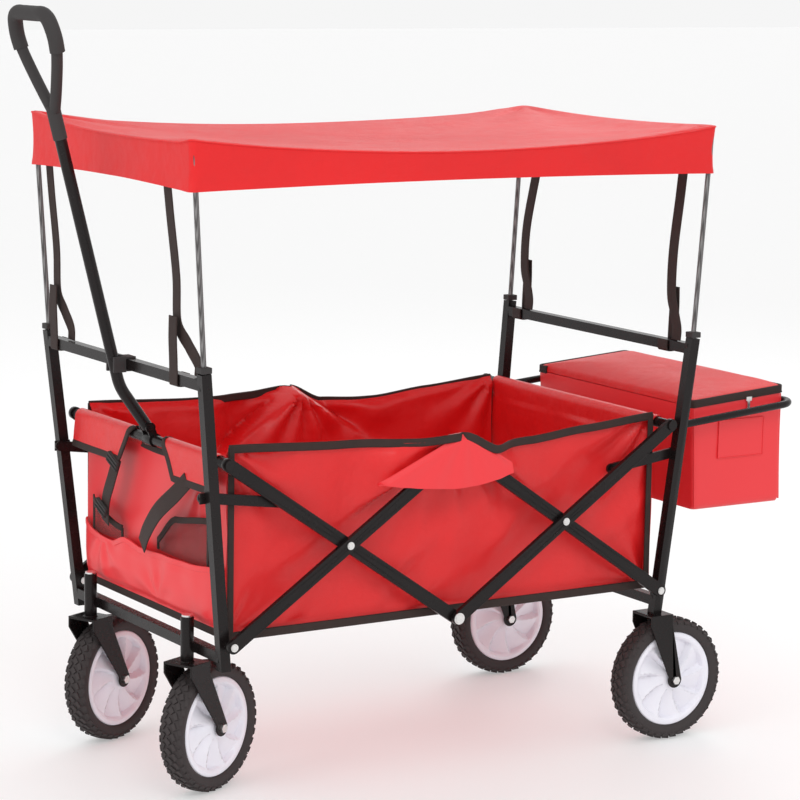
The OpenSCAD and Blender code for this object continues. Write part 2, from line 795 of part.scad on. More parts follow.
module caster_bolts(left)
    color(STEEL) at_swivel(left) {
        translate([-trail, 0, axle_z]) axle_bolt();
        translate([0, 0, fork_top_z - fork_plate - 4.2]) cylinder(r = 8, h = 4, $fn = 6);
        translate([0, 0, fork_top_z - fork_plate - 1]) cylinder(r = 5, h = swivel_top_z - fork_top_z + fork_plate + 2);
        translate([0, 0, swivel_top_z + 0.5]) cylinder(r = 8.5, h = 3);
    }

// ---- one line per node ----

module left_only() place() children();
module right_only() place() mirror([0, 1, 0]) children();
module on_both() place() both_sides() children();

left_only() post(false);  // rear_post_left
right_only() post(false);  // rear_post_right
place() cross_bar(false, upper_bar_z, post_size);  // rear_upper_bar
place() lower_tube(false);  // rear_lower_tube
on_both() post_cap(false);  // rear_post_caps
on_both() canopy_rod(false);  // rear_canopy_rods
place() rear_fork(true);  // rear_fork_left
place() rear_fork(false);  // rear_fork_right
on_both() color(STEEL) at_rear_wheel(true) axle_bolt();  // rear_axle_bolts
on_both() frame_rivet(false);  // rear_frame_rivets
place() canopy();
place() { frame_strap(false, 200); frame_strap(false, -215); }  // rear_canopy_straps
place() bag_hoop();
place() bag_body();
place() bag_lid();
place() zip_slider();
left_only() post(true);  // front_post_left
right_only() post(true);  // front_post_right
place() cross_bar(true, upper_bar_z, post_size);  // front_upper_bar
place() lower_tube(true);  // front_lower_tube
on_both() post_cap(true);  // front_post_caps
on_both() canopy_rod(true);  // front_canopy_rods
place() { frame_strap(true, 180); frame_strap(true, -228); }  // front_canopy_straps
on_both() frame_rivet(true);  // front_frame_rivets
place() handle_clip();
left_only() bar_a();  // bar_a_left
right_only() bar_a();  // bar_a_right
left_only() bar_b();  // bar_b_left
right_only() bar_b();  // bar_b_right
place() top_rail(false);  // rear_top_rail
place() pivot_rivets(-crossing_x, centre_head_d);  // rivets_b
left_only() bar_c();  // bar_c_left
right_only() bar_c();  // bar_c_right
place() pivot_rivets(crossing_x, rivet_head_d);  // rivets_c
left_only() bar_d();  // bar_d_left
right_only() bar_d();  // bar_d_right
place() top_rail(true);  // front_top_rail
on_both() link(false);  // rear_links
on_both() link(true);  // front_links
left_only() side_wall();  // side_wall_left
right_only() side_wall();  // side_wall_right
place() rear_wall();
place() floor_panel();
place() front_wall();
place() front_pouch();
place() handle_bracket();
place() handle_shaft();
place() handle_grip();
place() caster_fork(true);  // caster_fork_left
place() caster_fork(false);  // caster_fork_right
place() caster_bolts(true);  // caster_bolts_left
place() caster_bolts(false);  // caster_bolts_right
color(RUBBER) place() at_front_wheel(true) tyre();  // tyre_front_left
color(RUBBER) place() at_front_wheel(false) tyre();  // tyre_front_right
color(RUBBER) place() at_rear_wheel(true) tyre();  // tyre_rear_left
color(RUBBER) place() at_rear_wheel(false) tyre();  // tyre_rear_right
color(WHITE) place() at_front_wheel(true) wheel_disc();  // disc_front_left
color(WHITE) place() at_front_wheel(false) wheel_disc();  // disc_front_right
color(WHITE) place() at_rear_wheel(true) wheel_disc();  // disc_rear_left
color(WHITE) place() at_rear_wheel(false) wheel_disc();  // disc_rear_right
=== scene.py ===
"""Folding pull wagon: cloth, wheels, straps and finishes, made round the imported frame."""

import json
import math

import bmesh
import bpy
from mathutils import Matrix, Vector, noise


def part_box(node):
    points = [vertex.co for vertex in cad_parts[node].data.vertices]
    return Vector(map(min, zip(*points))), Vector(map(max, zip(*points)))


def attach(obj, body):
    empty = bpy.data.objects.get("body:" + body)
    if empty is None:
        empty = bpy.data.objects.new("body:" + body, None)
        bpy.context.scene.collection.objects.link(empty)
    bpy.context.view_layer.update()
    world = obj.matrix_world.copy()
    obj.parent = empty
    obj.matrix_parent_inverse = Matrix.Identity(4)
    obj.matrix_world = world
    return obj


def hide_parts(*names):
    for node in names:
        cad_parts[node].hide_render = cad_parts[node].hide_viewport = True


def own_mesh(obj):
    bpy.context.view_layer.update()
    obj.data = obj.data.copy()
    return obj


bl_info = {
    "name": "Folding Pull Wagon",
    "version": (1, 0, 0),
    "blender": (4, 5, 0),
    "location": "View3D > Sidebar > Wagon",
    "description": "Makes the cloth, wheels, straps and finishes of a folding pull wagon",
    "category": "Add Mesh",
}

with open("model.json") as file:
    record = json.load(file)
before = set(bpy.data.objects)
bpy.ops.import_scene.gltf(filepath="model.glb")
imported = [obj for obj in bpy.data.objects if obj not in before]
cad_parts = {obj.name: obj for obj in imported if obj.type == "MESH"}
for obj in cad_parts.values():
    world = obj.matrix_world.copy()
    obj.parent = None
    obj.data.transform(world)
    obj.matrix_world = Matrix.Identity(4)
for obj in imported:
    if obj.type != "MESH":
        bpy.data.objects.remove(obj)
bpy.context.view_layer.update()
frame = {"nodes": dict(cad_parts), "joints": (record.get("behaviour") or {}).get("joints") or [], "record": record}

# ---- the frame's own places, in millimetres from the middle between the posts ----

MM = 0.001
HALF_SPAN = 391.0  # half the distance between the front and rear fold pivots


def joint_place(name):
    return Vector(next(j for j in frame["joints"] if j["name"] == name)["pos_m"])


SHIFT = joint_place("fold").x + HALF_SPAN * MM


def spot(x, y, z):
    """A place in the part's frame, in metres, from millimetres."""
    return Vector((x * MM + SHIFT, y * MM, z * MM))


def millimetres(point):
    """Millimetres from a place in metres, the reverse of spot()."""
    return Vector(((point[0] - SHIFT) / MM, point[1] / MM, point[2] / MM))


def node_box(name):
    low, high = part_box(name)
    return millimetres(low), millimetres(high)


RAIL = millimetres(joint_place("front_panel_hang"))  # front top rail; the rear one mirrors it
BOLT = millimetres(joint_place("handle_tilt"))
HANDLE_Y = BOLT.y
WALL_Y = node_box("side_wall_left")[0].y
TUB_LOW = node_box("side_wall_left")[0].z
CANOPY_LOW, CANOPY_HIGH = node_box("canopy")
BAG_LOW, BAG_HIGH = node_box("bag_body")
TUB_END = 383  # from the middle to the tub's corner seams
FRONT_WALL_X = RAIL.x - 13.2
POUCH_X = FRONT_WALL_X + 2.4

# thicknesses in metres, and the sharpest folds in degrees that are shaded smooth
TUB_CLOTH = 0.0016
WEBBING = 0.0022
SHEET_ANGLE = 60
WEBBING_ANGLE = 50


class ClothSettings(bpy.types.PropertyGroup):
    """Sizes and colours of the cloth."""

    red: bpy.props.FloatVectorProperty(
        name="Cloth colour", description="Colour of the tub, canopy and bag", subtype="COLOR",
        size=3, min=0, max=1, default=(0.80, 0.012, 0.014))
    tape: bpy.props.FloatVectorProperty(
        name="Tape colour", description="Colour of the bindings and webbing", subtype="COLOR",
        size=3, min=0, max=1, default=(0.030, 0.019, 0.017))
    canopy_sag: bpy.props.FloatProperty(
        name="Canopy sag", description="How far the canopy's long edges hang in their middle",
        default=0.024, min=0, max=0.05, unit="LENGTH")
    wrinkle: bpy.props.FloatProperty(
        name="Wrinkle depth", description="Depth of the folds in the tub's walls",
        default=0.0075, min=0, max=0.012, unit="LENGTH")
    binding: bpy.props.FloatProperty(
        name="Binding width", description="Width of the tape sewn over the cloth's edges",
        default=0.013, min=0.005, max=0.02, unit="LENGTH")
    strap: bpy.props.FloatProperty(
        name="Strap width", description="Width of the canopy's straps",
        default=0.025, min=0.01, max=0.04, unit="LENGTH")


class WheelSettings(bpy.types.PropertyGroup):
    """Sizes of the wheels."""

    blocks: bpy.props.IntProperty(
        name="Tread blocks", description="Blocks in one row round a tyre",
        default=40, min=12, max=80)
    block_height: bpy.props.FloatProperty(
        name="Tread depth", description="Height of the tread blocks",
        default=0.0020, min=0.001, max=0.006, unit="LENGTH")
    blades: bpy.props.IntProperty(
        name="Disc blades", description="Slanting faces round a wheel disc",
        default=9, min=5, max=16)
    disc: bpy.props.FloatVectorProperty(
        name="Disc colour", description="Colour of the wheel discs", subtype="COLOR",
        size=3, min=0, max=1, default=(0.86, 0.85, 0.92))
    rubber: bpy.props.FloatVectorProperty(
        name="Tyre colour", description="Colour of the tyres", subtype="COLOR",
        size=3, min=0, max=1, default=(0.038, 0.026, 0.023))


class MetalSettings(bpy.types.PropertyGroup):
    """Colours of the frame."""

    paint: bpy.props.FloatVectorProperty(
        name="Frame colour", description="Colour of the painted tubes", subtype="COLOR",
        size=3, min=0, max=1, default=(0.007, 0.005, 0.005))
    bevel: bpy.props.FloatProperty(
        name="Edge radius", description="Rounding of the square tubes' edges",
        default=0.0013, min=0.0002, max=0.003, unit="LENGTH")


def cloth_settings():
    return bpy.context.scene.wagon_cloth


def wheel_settings():
    return bpy.context.scene.wagon_wheels


def metal_settings():
    return bpy.context.scene.wagon_metal


# ---- finishes ----


class Value:
    """A shader socket that can be added, multiplied and so on."""

    def __init__(self, finish, socket):
        self.finish, self.socket = finish, socket

    def _math(self, operation, a, b=0.0):
        return self.finish.node("ShaderNodeMath", {0: a, 1: b}, operation=operation)

    def __add__(self, other):
        return self._math("ADD", self, other)

    def __radd__(self, other):
        return self._math("ADD", other, self)

    def __sub__(self, other):
        return self._math("SUBTRACT", self, other)

    def __rsub__(self, other):
        return self._math("SUBTRACT", other, self)

    def __mul__(self, other):
        return self._math("MULTIPLY", self, other)

    def __rmul__(self, other):
        return self._math("MULTIPLY", other, self)

    def sine(self):
        return self._math("SINE", self)

    def power(self, exponent):
        return self._math("POWER", self, exponent)

    def above(self, edge):
        return self._math("GREATER_THAN", self, edge)


class Finish:
    """One procedural material."""

    def __init__(self, name):
        self.material = bpy.data.materials.new(name)
        self.material.use_nodes = True
        self.tree = self.material.node_tree
        self.shader = self.tree.nodes["Principled BSDF"]

    def node(self, kind, inputs=None, output=0, **settings):
        made = self.tree.nodes.new(kind)
        for key, value in settings.items():
            setattr(made, key, value)
        for key, value in (inputs or {}).items():
            self.feed(made.inputs[key], value)
        return Value(self, made.outputs[output])

    def feed(self, socket, value):
        if isinstance(value, Value):
            self.tree.links.new(value.socket, socket)
        else:
            socket.default_value = value

    def set(self, **inputs):
        for key, value in inputs.items():
            self.feed(self.shader.inputs[key.replace("_", " ")], value)
        return self.material

    def place(self):
        return self.node("ShaderNodeTexCoord", output="Object")

    def along(self):
        """Distances along and across the cloth, in metres, from its own UV map."""
        uv = self.node("ShaderNodeTexCoord", output="UV")
        apart = self.node("ShaderNodeSeparateXYZ", {0: uv})
        return apart, Value(self, apart.socket.node.outputs[1])

    def clouds(self, scale, detail=3.0):
        return self.node("ShaderNodeTexNoise",
                         {"Vector": self.place(), "Scale": scale, "Detail": detail})

    def mix(self, amount, low, high):
        made = self.tree.nodes.new("ShaderNodeMix")
        made.data_type = "RGBA"
        for socket, value in ((0, amount), (6, low), (7, high)):
            self.feed(made.inputs[socket], value)
        return Value(self, made.outputs[2])

    def bump(self, height, distance, strength=1.0, over=None):
        inputs = {"Height": height, "Distance": distance, "Strength": strength}
        if over:
            inputs["Normal"] = over
        return self.node("ShaderNodeBump", inputs)


def tint(colour, factor):
    return (*(min(1.0, c * factor) for c in colour), 1.0)


WEAVE_PITCH = 0.0011


def cloth_finish(name, colour, roughness, coat=0.0):
    """Woven polyester: plain weave and soft creases, with painted shade in the creases' hollows and a painted
    highlight on their ridges.
    """
    f = Finish(name)
    u, v = f.along()
    turn = 2 * math.pi / WEAVE_PITCH
    weave = (u * turn).sine() * (v * turn).sine()
    creases = f.clouds(7.0, 4.0)
    fine = f.clouds(38.0, 5.0)
    # painted shade and painted highlight: the colour follows the creases' bump height, darker in their hollows and
    # lighter on their ridges
    base = f.mix(creases * 0.7 + fine * 0.3, tint(colour, 0.86), tint(colour, 1.12))
    base = f.mix((weave + 1.0) * 0.18, base, tint(colour, 0.72))
    folds = f.bump(creases * 0.75 + fine * 0.25, 0.012, 0.7)
    normal = f.bump(weave, 0.00012, 0.6, folds)
    f.set(Base_Color=base, Roughness=fine * 0.16 + (roughness - 0.08), Normal=normal)
    return f.set(Specular_IOR_Level=0.28, Sheen_Weight=0.03, Sheen_Roughness=0.4,
                 Coat_Weight=coat, Coat_Roughness=0.25)


def tape_finish():
    """Ribbed webbing and binding tape."""
    colour = cloth_settings().tape
    f = Finish("webbing_tape")
    u, v = f.along()
    rib_pitch, row_pitch = 0.0016, 0.0024
    ribs = (u * (2 * math.pi / rib_pitch)).sine()
    rows = (v * (2 * math.pi / row_pitch)).sine()
    dust = f.clouds(60.0, 4.0)
    height = ribs * 0.6 + rows * ribs * 0.4
    base = f.mix(dust * 0.6 + (height + 1.0) * 0.2, tint(colour, 0.7), tint(colour, 1.9))
    f.set(Base_Color=base, Roughness=dust * 0.2 + 0.5, Normal=f.bump(height, 0.0003, 0.7))
    return f.set(Specular_IOR_Level=0.2)


def net_finish():
    """Black net over the pocket, with open diamonds."""
    f = Finish("pocket_net")
    u, v = f.along()
    pitch, thread_edge = 0.0042, 0.955
    turn = 2 * math.pi / pitch
    rising = ((u + v) * turn).sine().power(2.0).above(thread_edge)
    falling = ((u - v) * turn).sine().power(2.0).above(thread_edge)
    thread = (rising + falling).above(0.5)
    f.set(Base_Color=f.mix(f.clouds(90.0), (0.02, 0.014, 0.013, 1), (0.06, 0.04, 0.036, 1)))
    return f.set(Alpha=thread, Roughness=0.7)


def paint_finish():
    """Gloss black powder coat, a little rubbed."""
    colour = metal_settings().paint
    f = Finish("painted_tube")
    cast = f.clouds(14.0, 4.0)
    orange_peel = f.clouds(420.0, 2.0)
    rub = f.clouds(55.0, 6.0)
    base = f.mix(cast, tint(colour, 0.7), tint(colour, 1.9))
    f.set(Base_Color=base, Roughness=rub * 0.14 + 0.20, Normal=f.bump(orange_peel, 0.0002, 0.25))
    return f.set(Specular_IOR_Level=0.24)


def zinc_finish():
    """Bright zinc plate on the bolts and rivets."""
    f = Finish("zinc_plate")
    grain = f.clouds(300.0, 5.0)
    f.set(Base_Color=f.mix(grain, (0.62, 0.61, 0.60, 1), (0.86, 0.85, 0.84, 1)), Metallic=1.0)
    return f.set(Roughness=grain * 0.2 + 0.2, Normal=f.bump(grain, 0.0002, 0.3))


def rod_finish():
    """Drawn grey rods with fine lengthwise lines."""
    f = Finish("drawn_rod")
    apart = f.node("ShaderNodeSeparateXYZ", {0: f.place()})
    y = Value(f, apart.socket.node.outputs[1])
    lines_per_metre = 2600.0
    lines = (apart * lines_per_metre + y * lines_per_metre).sine()
    grain = f.clouds(180.0, 4.0)
    base = f.mix((lines + 1.0) * 0.35 + grain * 0.2,
                 (0.06, 0.055, 0.055, 1), (0.30, 0.29, 0.29, 1))
    f.set(Base_Color=base, Metallic=0.75, Roughness=grain * 0.15 + 0.28)
    return f.set(Normal=f.bump(lines, 0.0004, 0.5))


def disc_finish():
    """Pale moulded plastic, a little uneven."""
    colour = wheel_settings().disc
    f = Finish("disc_plastic")
    cast = f.clouds(22.0, 4.0)
    pores = f.clouds(500.0, 2.0)
    f.set(Base_Color=f.mix(cast, tint(colour, 0.93), tint(colour, 1.04)),
          Roughness=cast * 0.15 + 0.3)
    return f.set(Normal=f.bump(pores, 0.0001, 0.2), Coat_Weight=0.15)


def rubber_finish():
    """Dusty black rubber."""
    colour = wheel_settings().rubber
    f = Finish("tyre_rubber")
    dust = f.clouds(45.0, 6.0)
    pores = f.clouds(700.0, 3.0)
    f.set(Base_Color=f.mix(dust, tint(colour, 0.7), tint(colour, 1.8)),
          Roughness=dust * 0.2 + 0.58)
    return f.set(Normal=f.bump(pores, 0.0004, 0.5), Specular_IOR_Level=0.25)


def grip_finish():
    """Moulded black plastic with a fine grain."""
    f = Finish("black_plastic")
    grain = f.clouds(650.0, 3.0)
    cast = f.clouds(30.0, 3.0)
    f.set(Base_Color=f.mix(cast, (0.010, 0.008, 0.008, 1), (0.026, 0.021, 0.021, 1)))
    return f.set(Specular_IOR_Level=0.3, Roughness=grain * 0.2 + 0.38,
                 Normal=f.bump(grain, 0.0003, 0.4))


def finish(name):
    """A finish by name, made the first time it is asked for."""
    found = bpy.data.materials.get(name)
    if found:
        return found
    red = cloth_settings().red
    makers = {
        "red_cloth": lambda: cloth_finish("red_cloth", red, 0.52),
        "red_lining": lambda: cloth_finish("red_lining", red, 0.36, coat=0.35),
        "red_canopy": lambda: cloth_finish("red_canopy", red, 0.48, coat=0.08),
        "webbing_tape": tape_finish,
        "pocket_net": net_finish,
        "painted_tube": paint_finish,
        "zinc_plate": zinc_finish,
        "drawn_rod": rod_finish,
        "disc_plastic": disc_finish,
        "tyre_rubber": rubber_finish,
        "black_plastic": grip_finish,
    }
    return makers[name]()


# ---- modelling helpers ----


def select_only(*objs):
    bpy.ops.object.select_all(action="DESELECT")
    for o in objs:
        o.select_set(True)
    bpy.context.view_layer.objects.active = objs[0]


def modify(obj, kind, **settings):
    select_only(obj)
    made = obj.modifiers.new(kind.title(), kind)
    for key, value in settings.items():
        setattr(made, key, value)
    bpy.ops.object.modifier_apply(modifier=made.name)
    return obj


def smooth(obj, degrees=38):
    select_only(obj)
    bpy.ops.object.shade_smooth_by_angle(angle=math.radians(degrees))
    return obj


def face_outwards(obj):
    select_only(obj)
    bpy.ops.object.mode_set(mode="EDIT")
    bpy.ops.mesh.select_all(action="SELECT")
    bpy.ops.mesh.remove_doubles(threshold=0.00002)
    bpy.ops.mesh.normals_make_consistent(inside=False)
    bpy.ops.object.mode_set(mode="OBJECT")
    return obj


def wear(obj, *names):
    obj.data.materials.clear()
    for name in names:
        obj.data.materials.append(finish(name))
    return obj


def thick(obj, thickness, *looks, offset=0, **settings):
    """Gives a sheet its thickness, with its faces outwards, and its finishes."""
    modify(obj, "SOLIDIFY", thickness=thickness, offset=offset, **settings)
    return wear(smooth(face_outwards(obj), SHEET_ANGLE), *looks)


def grid(name, across, down, point, flat):
    """A sheet whose point(u, v) gives its place; its UV map is in metres over its flat size."""
    bpy.ops.object.select_all(action="DESELECT")
    bpy.ops.mesh.primitive_grid_add(x_subdivisions=across, y_subdivisions=down, size=2)
    obj = bpy.context.object
    obj.name = obj.data.name = name
    for vertex in obj.data.vertices:
        vertex.co = point((vertex.co.x + 1) / 2, (vertex.co.y + 1) / 2)
    for loop in obj.data.uv_layers.active.data:
        loop.uv = (loop.uv[0] * flat[0], loop.uv[1] * flat[1])
    return obj


def mesh_from_rings(name, rings, closed=True, start_cap=False, end_cap=False):
    """A skin over loops of equal length, with a UV map in metres."""
    mesh = bpy.data.meshes.new(name)
    obj = bpy.data.objects.new(name, mesh)
    bpy.context.collection.objects.link(obj)
    bm = bmesh.new()
    uv = bm.loops.layers.uv.new("UVMap")
    rows = [[bm.verts.new(p) for p in ring] for ring in rings]
    count = len(rings[0])
    span = count if closed else count - 1
    around = [0.0]
    widest = max(rings, key=lambda r: sum((r[i] - r[i - 1]).length for i in range(1, count)))
    for i in range(span):
        around.append(around[-1] + (widest[(i + 1) % count] - widest[i]).length)
    down = [0.0]
    for a, b in zip(rings, rings[1:]):
        down.append(down[-1] + sum((q - p).length for p, q in zip(a, b)) / count)
    for j in range(len(rows) - 1):
        for i in range(span):
            k = (i + 1) % count
            face = bm.faces.new((rows[j][i], rows[j][k], rows[j + 1][k], rows[j + 1][i]))
            corners = ((around[i], down[j]), (around[i + 1], down[j]),
                       (around[i + 1], down[j + 1]), (around[i], down[j + 1]))
            for loop, corner in zip(face.loops, corners):
                loop[uv].uv = corner
    for row, wanted in ((rows[0], start_cap), (rows[-1], end_cap)):
        if wanted:
            middle = bm.verts.new(sum((v.co for v in row), Vector()) / count)
            for i in range(count):
                face = bm.faces.new((row[(i + 1) % count], row[i], middle))
                for loop in face.loops:
                    loop[uv].uv = (loop.vert.co.x, loop.vert.co.y)
    bm.to_mesh(mesh)
    bm.free()
    return obj


def curve_through(points, steps=8, closed=False):
    """Points on a smooth line through the given ones."""
    pts = [Vector(p) for p in points]
    last = len(pts) if closed else len(pts) - 1
    out = []
    for i in range(last):
        if closed:
            a, b, c, d = (pts[(i + k) % len(pts)] for k in (-1, 0, 1, 2))
        else:
            b, c = pts[i], pts[i + 1]
            a = pts[i - 1] if i else b * 2 - c
            d = pts[i + 2] if i + 2 < len(pts) else c * 2 - b
        for k in range(steps):
            t = k / steps
            out.append(0.5 * (2 * b + (c - a) * t + (2 * a - 5 * b + 4 * c - d) * t * t
                              + (3 * b - a - 3 * c + d) * t ** 3))
    if not closed:
        out.append(pts[-1])
    return out


def round_section(radius, count=20):
    return [(radius * math.cos(2 * math.pi * i / count), radius * math.sin(2 * math.pi * i / count))
            for i in range(count)]


def flat_section(width, thickness):
    """A strip's section: wide, thin and round at its edges."""
    w, t = width / 2, thickness / 2
    edge = [(w - t, -t), (w - 0.3 * t, -0.75 * t), (w, 0), (w - 0.3 * t, 0.75 * t), (w - t, t)]
    steps = [(w - t) * (1 - 2 * k / 6) for k in range(1, 6)]
    return (edge + [(x, t) for x in steps] + [(-x, -y) for x, y in edge]
            + [(-x, -t) for x in steps])


def sweep(name, path, section, up=Vector((0, 0, 1)), closed=False):
    """A section carried along a path; up is one direction, or one for each point."""
    rings = []
    count = len(path)
    for i, here in enumerate(path):
        before = path[i - 1] if i or closed else here
        after = path[(i + 1) % count] if i + 1 < count or closed else here
        tangent = (after - before).normalized()
        lift = up[i] if isinstance(up, list) else up
        side = tangent.cross(lift).normalized()
        top = side.cross(tangent)
        rings.append([here + side * a + top * b for a, b in section])
    if closed:
        rings.append(rings[0])
    return face_outwards(mesh_from_rings(name, rings, start_cap=not closed, end_cap=not closed))


def swept(look, name, path, section, angle=WEBBING_ANGLE, **way):
    """A swept piece with its finish."""
    return wear(smooth(sweep(name, path, section, **way), angle), look)


def spin_rings(profile, segments, shape=None):
    """Loops of a turned shape about the Y axis, from (radius, y) pairs in metres."""
    rings = []
    for radius, y in profile:
        ring = []
        for i in range(segments):
            a = 2 * math.pi * i / segments
            r, w = shape(radius, y, a) if shape else (radius, y)
            ring.append(Vector((r * math.cos(a), w, r * math.sin(a))))
        rings.append(ring)
    return rings


def block(name, centre, size, turn=None, bevel=0.0):
    """A small rounded block."""
    bpy.ops.object.select_all(action="DESELECT")
    bpy.ops.mesh.primitive_cube_add(size=1)
    obj = bpy.context.object
    obj.name = obj.data.name = name
    obj.data.transform(Matrix.Diagonal((*size, 1)))
    if bevel:
        modify(obj, "BEVEL", width=bevel, segments=2)
    obj.data.transform(Matrix.Translation(centre) @ (turn or Matrix()))
    return obj


def joined(name, parts):
    select_only(*parts)
    if len(parts) > 1:
        bpy.ops.object.join()
    obj = bpy.context.view_layer.objects.active
    obj.name = obj.data.name = name
    return obj


def step(a, b, x):
    t = min(1.0, max(0.0, (x - a) / (b - a)))
    return t * t * (3 - 2 * t)


def between(table, x):
    """Smooth value of a table of (x, value) at x."""
    if x <= table[0][0]:
        return table[0][1]
    for (x0, v0), (x1, v1) in zip(table, table[1:]):
        if x <= x1:
            return (v0 + (v1 - v0) * step(x0, x1, x) * 0.5
                    + (v1 - v0) * (x - x0) / (x1 - x0) * 0.5)
    return table[-1][1]


def ripple(x, z, seed, size):
    """Uneven waves between -1 and 1."""
    return noise.noise(Vector((x / size, z / size, seed)))


def rays(x, z, x0, z0, count, reach, phase=0.0):
    """Folds that run out from a point where the cloth is held."""
    away = math.hypot(x - x0, z - z0)
    angle = math.atan2(z - z0, x - x0)
    return math.sin(count * angle + phase) * math.exp(-away / reach) * step(4, 40, away)


# ---- canopy ----


def rounded_outline(half_x, half_y, corner, per_side=26, per_corner=7):
    """Points round a rectangle with round corners, anticlockwise from its +X side."""
    points = []
    corners = ((1, 1, 0), (-1, 1, 90), (-1, -1, 180), (1, -1, 270))
    for i, (sx, sy, start) in enumerate(corners):
        cx, cy = sx * (half_x - corner), sy * (half_y - corner)
        for k in range(per_corner + 1):
            a = math.radians(start + 90 * k / per_corner)
            points.append((cx + corner * math.cos(a), cy + corner * math.sin(a)))
        nx, ny, _ = corners[(i + 1) % 4]
        a = math.radians(start + 90)
        ex, ey = cx + corner * math.cos(a), cy + corner * math.sin(a)
        fx = nx * (half_x - corner) + corner * math.cos(a)
        fy = ny * (half_y - corner) + corner * math.sin(a)
        for k in range(1, per_side):
            t = k / per_side
            points.append((ex + (fx - ex) * t, ey + (fy - ey) * t))
    return points


def canopy_height(x, y):
    half_x, half_y = CANOPY_HIGH.x, CANOPY_HIGH.y
    a, b = x / half_x, y / half_y
    sag = cloth_settings().canopy_sag / MM
    edge = (sag + 3.5 * b) * (1 - a * a) * (0.72 + 0.28 * b * b)
    ends = 7.0 * (1 - b * b)
    middle = 9.0 * (1 - a * a) * (1 - b * b)
    folds = 0.0
    for k, (sx, sy) in enumerate(((1, 1), (1, -1), (-1, 1), (-1, -1))):
        folds += rays(x, y, sx * half_x, sy * half_y, 9, 230, k * 1.7) * 4.5
    folds += ripple(x, y, 3.1, 170) * 4.0 * (1 - a ** 4) * (1 - b ** 4)
    lift = 9.0 * max(0.0, a) ** 4 * max(0.0, -b) ** 2
    return CANOPY_HIGH.z - 1.5 - edge - ends - middle + min(folds, 1.0) + lift


SKIRT_DROP = 0.0585  # mean depth of the canopy's skirt, which is deepest at its corners


def make_canopy():
    half_x, half_y = CANOPY_HIGH.x, CANOPY_HIGH.y
    corner, near_corner, fold_over = 10, 12, 4.5
    outline = rounded_outline(half_x, half_y, corner)
    rings = []
    for k in range(1, 40):
        share = (k / 40) ** 0.85
        rings.append([spot(x * share, y * share, canopy_height(x * share, y * share))
                      for x, y in outline])
    top = [canopy_height(x, y) for x, y in outline]
    for inset, drop in ((3.2, 0.1), (1.4, 0.9), (0.4, 2.4), (0.0, fold_over)):
        rings.append([spot(x * (1 - inset / half_x), y * (1 - inset / half_y), z - drop)
                      for (x, y), z in zip(outline, top)])
    for k in range(1, 15):
        t = k / 14
        ring = []
        for (x, y), z in zip(outline, top):
            long_side = abs(y) > half_y - near_corner
            run = x if long_side else y
            length = half_x if long_side else half_y
            wave = ripple(run, z, 9.0 if long_side else 5.0, 120) * 3.0 * t
            wave += math.sin(run / 21.0) * 0.5 * t
            low = CANOPY_LOW.z + 5.0 * (1 - (run / length) ** 2)
            pull = -1.6 * math.sin(math.pi * t) - max(0.0, wave)
            hem = 0.5 if t > 0.86 else 0.0
            grow = pull + hem
            short_side = not long_side or abs(x) > half_x - near_corner
            ring.append(spot(x * (1 + grow / half_x) if short_side else x,
                             y * (1 + grow / half_y) if long_side else y,
                             (z - fold_over) + (low - z + fold_over) * t))
        rings.append(ring)
    obj = mesh_from_rings("canopy_cloth", rings, start_cap=True)
    face_outwards(obj)
    modify(obj, "SOLIDIFY", thickness=0.0013, offset=-1)
    wear(smooth(obj, SHEET_ANGLE), "red_canopy")
    long, wide, drop = 2 * half_x * MM, 2 * half_y * MM, SKIRT_DROP
    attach(obj, "rear_frame")
    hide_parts("canopy")
    # the seam where the skirt is sewn to the top
    seam = [spot(x, y, z - 2.2) for (x, y), z in zip(outline, top)]
    cord = swept("red_canopy", "canopy_seam", seam, round_section(0.0015, 8), 38, closed=True)
    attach(cord, "rear_frame")
    rear = spot(-460, 0, 950)
    for piece in (obj, cord):
        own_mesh(piece)


# ---- tub ----

# top edge of the left side wall, as (x, z)
SIDE_EDGE = ((-383, 536), (-250, 525), (-150, 515), (-62, 513),
             (-6, 538), (70, 533), (200, 535), (383, 543))


def side_top(x, side):
    lift = 0.0 if side > 0 else -3.0
    return between(SIDE_EDGE, x) + lift


def wall_inset(x, z, side):
    """How far the side cloth lies inside its outer line."""
    depth = cloth_settings().wrinkle / MM
    seed = 2.0 if side > 0 else 8.0
    folds = rays(x, z, -6, 536, 13, 170, 0.4) * 0.9 + rays(x, z, TUB_END, 540, 11, 140, 1.0) * 0.7
    folds += rays(x, z, -TUB_END, 534, 11, 150, 2.0) * 0.8
    folds += rays(x, z, TUB_END, 256, 9, 120) * 0.5 + rays(x, z, -TUB_END, 256, 9, 120, 1.3) * 0.5
    slack = ripple(x, z * 0.7, seed, 130) + 0.5 * ripple(x, z, seed + 4, 52)
    slanting = math.sin((x * 0.8 + z) / 17.0 + 2.2 * ripple(x, z, seed + 9, 160))
    folds += 0.55 * slanting * step(-0.1, 0.5, ripple(x, z, seed + 3, 110))
    held = step(0, 16, z - TUB_LOW) * step(0, 16, side_top(x, side) - z)
    return (folds + slack * 0.8 + 1.4) * depth * held


def flap_roof(x, side):
    """Height of the line where the flap leaves the wall."""
    return side_top(0, side) - 1.5 - (0.60 if x < 0 else 0.44) * max(0.0, abs(x + 2) - 6)


def top_bulge(x, z, side):
    """How far the side cloth stands out where it passes over the bars' top-centre pivots."""
    bar_top = 528.5 - 0.68 * abs(x)
    past = max(0.0, -62 - x, x - 108)
    above = max(0.0, z - flap_roof(x, side))
    edge = step(-2, 13, z - bar_top)
    return 38.0 * edge * math.exp(-(past / 46) ** 2 - (above / 52) ** 2)


